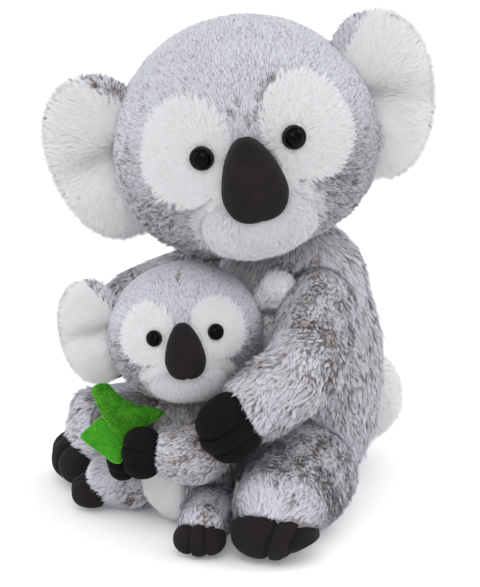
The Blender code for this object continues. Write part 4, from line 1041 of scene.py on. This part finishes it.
def ear(s, side_name, side):
    """An ear's skin, its lining and its pile. A pressed ear is smaller, with its white pile thinned."""
    wide, thick, high = s.half
    share = s.left_share if side > 0 else 1.0
    pressed = share < 1
    place = s.head.place
    at = place @ Matrix.Translation((s.out * side, s.back, s.height)) @ turned(s.lean * side, "Y")
    half = (wide * share, thick, high * share)
    body = s.bodies[side_name]

    def ear_form(grow):
        return egg(half, at, 2.2, grow=grow, shape=ear_shape(half, side), segments=64, rings=40)

    def is_front(points, normals):
        p = local_points(at, points)
        n = normals @ np.array(at)[:3, :3]
        inner_top = (-p[:, 0] * side / wide + p[:, 2] / high) > 1.0
        return clamp((0.72 - n[:, 1]) / 0.2) * ~inner_top * (0.5 if pressed else 1.0)

    form = ear_form(-s.inset)
    back_name, lining_name = f"{s.prefix}_ear_back_{side_name}", f"{s.prefix}_ear_lining_{side_name}"
    skin(f"{s.prefix}_ear_{side_name}_skin", form, body, MID_BACKING, back_name)
    lining = ear_form(-s.inset + LINING_PROUD)
    front = is_front(lining.verts, lining.normals) > (0.45 if pressed else 0.3)
    pad(f"{lining_name}_skin", lining, front, body, lining_name)
    comb = away_from(place @ Vector(((s.head.half[0] - EAR_ROOT_DEPTH) * side, s.back, s.height)))
    (white_count, white_look), (grey_count, grey_look) = s.white, s.grey
    if pressed:
        white_count, grey_count = white_count // 6, grey_count * 2
    fur(f"{lining_name}_fur", form, body, white_count, white_look, comb, WHITE, "white_plush", is_front)
    fur(f"{back_name}_fur", form, body, grey_count, grey_look, comb, GREY, "grey_plush", rest_of(is_front))


# Arms, legs, paws and feet


def arm(shoulder, elbow, wrist, start_share, radii, pile, paw_reach, paw_half):
    """An arm's form, the place and half size of its paw, and its comb."""
    shoulder, elbow, wrist = Vector(shoulder), Vector(elbow), Vector(wrist)
    start = shoulder.lerp(elbow, start_share)
    stations = [(point, radius, 1) for point, radius in zip((start, elbow, wrist), radii)]
    form = limb(stations, (0, 0, 1), grow=-pile, dome_share=0.6)
    onward = (wrist - elbow).normalized()
    return form, facing(wrist + onward * paw_reach, onward), paw_half, toward_end(start, elbow, wrist)


def leg(side, hip, splay, length, radii, slim, pile, foot_reach, foot_half):
    """A leg's form along the ground, the place and half size of its foot, and its comb."""
    start = Vector((hip[0] * side, hip[1], hip[2]))
    onward = turned(splay * side, "Z") @ Vector((0, -1, 0))
    thigh = start + onward * length / 4
    thigh.z = radii[1] + FLOOR_GAP
    ankle = start + onward * length
    ankle.z = radii[2] + FLOOR_GAP
    stations = [(start, radii[0] * 0.6, 1), (thigh, radii[1], 1), (ankle, radii[2], slim)]
    form = limb(stations, (0, 0, 1), grow=-pile, dome_share=0.6)
    form.verts[:, 2] = np.maximum(form.verts[:, 2], SKIN_FLOOR)
    at = ankle + onward * foot_reach
    at.z = foot_half[2] + FLOOR_GAP
    return form, facing(at, (0, 0, 1), upright=onward), foot_half, toward_end(start, thigh, ankle)


LEG_SIZES = {
    "hip": (0.043, 0.002, 0.036), "radii": (0.0275, 0.0325, 0.0305), "pile": BODY_PILE,
    "foot_reach": 0.0065, "foot_half": (0.027, 0.021, 0.0155),
}
BABY_LEG_SIZES = {
    "hip": (0.0215, BABY_BACK, 0.018), "radii": (0.012, 0.0175, 0.0165), "slim": 1, "pile": BABY_PILE,
    "foot_reach": 0.006, "foot_half": (0.0162, 0.013, 0.0105),
}
BABY_ARM_SIZES = {
    "start_share": 0, "radii": (0.0075, 0.0195, 0.0175), "pile": BABY_PILE,
    "paw_reach": 0.0155, "paw_half": (0.0105, 0.0165, 0.013),
}
LIMBS = {
    "arm_left": arm(
        (0.042, 0.002, 0.136), (0.075, -0.045, 0.112), (0.065, -0.076, 0.092), start_share=0.12,
        radii=(0.026, 0.0268, 0.0245), pile=BODY_PILE, paw_reach=0.019, paw_half=(0.0155, 0.0215, 0.021),
    ),
    "arm_right": arm(
        (-0.042, 0.002, 0.136), (-0.07, -0.036, 0.112), (-0.066, -0.056, 0.101), start_share=0.12,
        radii=(0.02, 0.0255, 0.0245), pile=BODY_PILE, paw_reach=0.014, paw_half=(0.014, 0.019, 0.018),
    ),
    "leg_left": leg(1, splay=27, length=0.081, slim=0.91, **LEG_SIZES),
    "leg_right": leg(-1, splay=36, length=0.075, slim=1, **LEG_SIZES),
    "baby_leg_left": leg(1, splay=34, length=0.04, **BABY_LEG_SIZES),
    "baby_leg_right": leg(-1, splay=56, length=0.038, **BABY_LEG_SIZES),
    "baby_arm_left": arm(
        (0.019, BABY_BACK, 0.072), (0.036, -0.091, 0.06), (0.0225, -0.106, 0.06), **BABY_ARM_SIZES
    ),
    "baby_arm_right": arm(
        (-0.019, BABY_BACK, 0.072), (-0.032, -0.09, 0.062), (-0.023, -0.099, 0.056), **BABY_ARM_SIZES
    ),
}
LIMB_PILES = {
    "arm_left": (60000, LONG), "arm_right": (42000, LONG),
    "leg_left": (64000, LEG), "leg_right": (60000, LEG),
    "baby_leg_left": (24000, BABY_LEG), "baby_leg_right": (24000, BABY_LEG),
    "baby_arm_left": (26000, BABY_ARM), "baby_arm_right": (13000, BABY_ARM),
}
# Where the seams between toes lie, as shares of a tip's half width
GROOVE_SHARES, LOW_GROOVE_SHARES = (-0.34, 0.3), (-0.62, -0.06)


def suede_tip(name, half, place, body, grooves, groove_axis, tip_axis, wedge):
    """A stuffed suede paw or foot that its seams draw in between the toes. A wedge thins one side."""
    def shape(local):
        near_tip = clamp(0.75 + local[:, tip_axis] / half[tip_axis])
        level = local[:, groove_axis] / half[groove_axis] + wedge * 0.16 * local[:, 2] / half[2]
        pull = np.zeros(len(local))
        for at in grooves:
            seam = 0.13 * bell((level - at) / 0.055) + 0.07 * bell((level - at) / 0.2)
            pull = np.maximum(pull, seam)
        local = local * (1 - pull * near_tip)[:, None]
        thin = clamp(-local[:, 0] / half[0]) ** 1.5 * wedge
        local[:, 2] *= 1 - np.where(local[:, 2] < 0, 0.85, 0.2) * thin
        return local

    form = egg(half, place, 2.3, grow=-0.3 * MM, shape=shape, segments=112, rings=64)
    SUEDE_FORMS.append(egg(half, place, 2.3, grow=-0.8 * MM))
    skin(f"{name}_suede", form, body, PAW_SUEDE if "paw" in name else SUEDE, name)


def suede_tips():
    for body, (_, place, half, _) in LIMBS.items():
        tip = body.replace("arm", "paw").replace("leg", "foot")
        groove_axis, tip_axis = (0, 1) if "foot" in tip else (1, 2)
        wedge = 1.0 if tip == "foot_left" else 0.0
        grooves = LOW_GROOVE_SHARES if wedge else GROOVE_SHARES
        suede_tip(tip, half, place, body, grooves, groove_axis, tip_axis, wedge)


def limb_pieces():
    for body, (form, _, _, comb) in LIMBS.items():
        count, look = LIMB_PILES[body]
        skin(f"{body}_skin", form, body, DARK_BACKING, body)
        fur(f"{body}_fur", form, body, count, look, comb, GREY, "grey_plush")


# Bodies and tail


def bib(points, normals):
    """1 in the white chest fur, 0 outside, and a soft border."""
    return np.clip((0.95 - np.linalg.norm((points - BIB_CENTRE) / BIB_HALF, axis=1)) / 0.2, 0, 1)


def body_front(points, normals):
    return (1 - bib(points, normals)) * (points[:, 1] < BODY_MIDDLE)


def body_back(points, normals):
    return (1 - bib(points, normals)) * (points[:, 1] >= BODY_MIDDLE)


def belly(points, normals):
    return (np.linalg.norm((points - BELLY_CENTRE) / BELLY_HALF, axis=1) < 1).astype(float)


def body_fur(torso, baby_torso):
    down = along((0, 0, -1))
    fur("torso_fur_front", torso, "root", 64000, BODY, down, BODY_GREY, "grey_plush", body_front,
        inside=(baby_torso,))
    fur("torso_fur_back", torso, "root", 60000, BODY, down, BODY_GREY, "grey_plush", body_back)
    chest = limb(TORSO, (1, 0, 0), grow=-BODY_PILE + BIB_PROUD, segments=96, steps=40)
    pad("chest_bib_skin", chest, bib(chest.verts, chest.normals) > 0.5, "root", "chest_bib")
    fur("chest_bib_fur", chest, "root", 12000, WHITE_LONG, down, WHITE, "white_plush", bib)
    fur("baby_belly_fur", baby_torso, "root", 12000, BABY_WHITE, down, WHITE, "white_plush", belly,
        inside=(torso,))
    fur("baby_torso_fur", baby_torso, "root", 18000, BABY_LONG, down, GREY, "grey_plush", rest_of(belly),
        inside=(torso,))
    on_belly = belly(baby_torso.verts, baby_torso.normals) > 0
    pad("baby_belly_skin", baby_torso, on_belly, "root", "baby_belly_panel", lift=BELLY_PROUD)


def tail_pieces():
    tail = egg(TAIL_HALF, Matrix.Translation(TAIL_CENTRE), grow=-TAIL_INSET)
    skin("tail_skin", tail, "tail", LIGHT_BACKING, "tail")
    fur("tail_fur", tail, "tail", 38000, TAIL, tail_comb, WHITE, "white_plush")


# Leaf


def closed_curve(points, per=8):
    """A smooth closed curve through points."""
    points = np.array(points, float)
    rows = []
    for i in range(len(points)):
        a, b, c, d = (points[(i + k) % len(points)] for k in (-1, 0, 1, 2))
        for t in np.arange(per) / per:
            bend = (c - a) * t + (2 * a - 5 * b + 4 * c - d) * t**2 + (3 * b - a - 3 * c + d) * t**3
            rows.append(b + bend / 2)
    return np.array(rows)


def tube(path, radius, segments=8):
    """A closed tube along a closed path."""
    ahead = unit(np.roll(path, -1, 0) - np.roll(path, 1, 0))
    out = unit(np.cross(ahead, np.array((0.31, 0.52, 0.79))))
    up = np.cross(ahead, out)
    turn = np.linspace(0, 2 * math.pi, segments, endpoint=False)[None, :, None]
    verts = path[:, None] + radius * (out[:, None] * np.cos(turn) + up[:, None] * np.sin(turn))
    faces = []
    for k in range(len(path)):
        low, high = k * segments, (k + 1) % len(path) * segments
        for i in range(segments):
            j = (i + 1) % segments
            faces.append((low + i, high + i, high + j, low + j))
    return verts.reshape(-1, 3), faces


def leaf_panel(node, shares, puff, count, rings=14):
    """A padded panel of the leaf: plump in the middle, thin at the seam, with short pile."""
    place = frame_at(LEAF_CENTRE, LEAF_TURN) @ turned(LEAF_TILT, "X")
    body = "baby_arm_left"
    rim = closed_curve(shares) * LEAF_HALF
    centre = rim.mean(0)
    loops = []
    for side, steps in ((-1, range(1, rings + 1)), (1, range(rings - 1, 0, -1))):
        for k in steps:
            r = k / rings
            flat = centre + (rim - centre) * r * 0.985
            swell = LEAF_EDGE + puff * (1 - r**2.2) ** 0.6
            dimple = 1 + 0.05 * np.sin(flat[:, 0] * 700 + side) * np.sin(flat[:, 1] * 610)
            loops.append(np.stack((flat[:, 0], side * swell * dimple, flat[:, 1]), 1))
    ends = [np.array([(centre[0], side * puff, centre[1])]) for side in (-1, 1)]
    points = np.concatenate(loops + ends)
    faces = grid_faces(len(loops), len(rim), len(points) - 2, len(points) - 1)
    form = Form(moved(place, points), faces)
    skin(f"{node}_cloth", form, body, GREEN_CLOTH, node)
    edge = np.stack((rim[:, 0], np.zeros(len(rim)), rim[:, 1]), 1)
    seam = mesh_object(f"{node}_seam", *tube(moved(place, edge), SEAM_RADIUS), GREEN_EDGE)
    dress(seam, body)
    fur(f"{node}_pile", form, body, count, LEAF_PILE, along((-0.3, 0.0, -1.0)), GREEN, "green_plush")


def build():
    set_stage()
    set_camera()
    torso = limb(TORSO, (1, 0, 0), grow=-BODY_PILE)
    draw_in(torso, BODY_BACK, BODY_DRAWS, TORSO_FLOOR)
    baby_torso = limb(BABY_TORSO, (1, 0, 0), grow=-BABY_PILE)
    draw_in(baby_torso, BABY_BACK, BABY_DRAWS, SKIN_FLOOR)
    suede_tips()
    skin("torso_skin", torso, "root", DARK_BACKING, "torso")
    skin("baby_torso_skin", baby_torso, "root", DARK_BACKING, "baby_torso")
    for sizes in (HEAD, BABY_HEAD):
        Head(sizes).build()
    for sizes in (EARS, BABY_EARS):
        for side_name, side in SIDES:
            ear(sizes, side_name, side)
    body_fur(torso, baby_torso)
    limb_pieces()
    leaf_panel("leaf_upper", UPPER_LEAF_SHARES, 1.9 * MM, 16000)
    leaf_panel("leaf_lower", LOWER_LEAF_SHARES, 1.6 * MM, 12000)
    plain = {"seat_panel": PANEL_CLOTH, "pellet_bag": BAG_CLOTH}
    for prefix in ("head", "baby"):
        for side_name, _ in SIDES:
            plain[f"{prefix}_eye_washer_{side_name}"] = WASHER
    for node, material in plain.items():
        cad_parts[node].material_slots[0].material = material
    tail_pieces()


build()
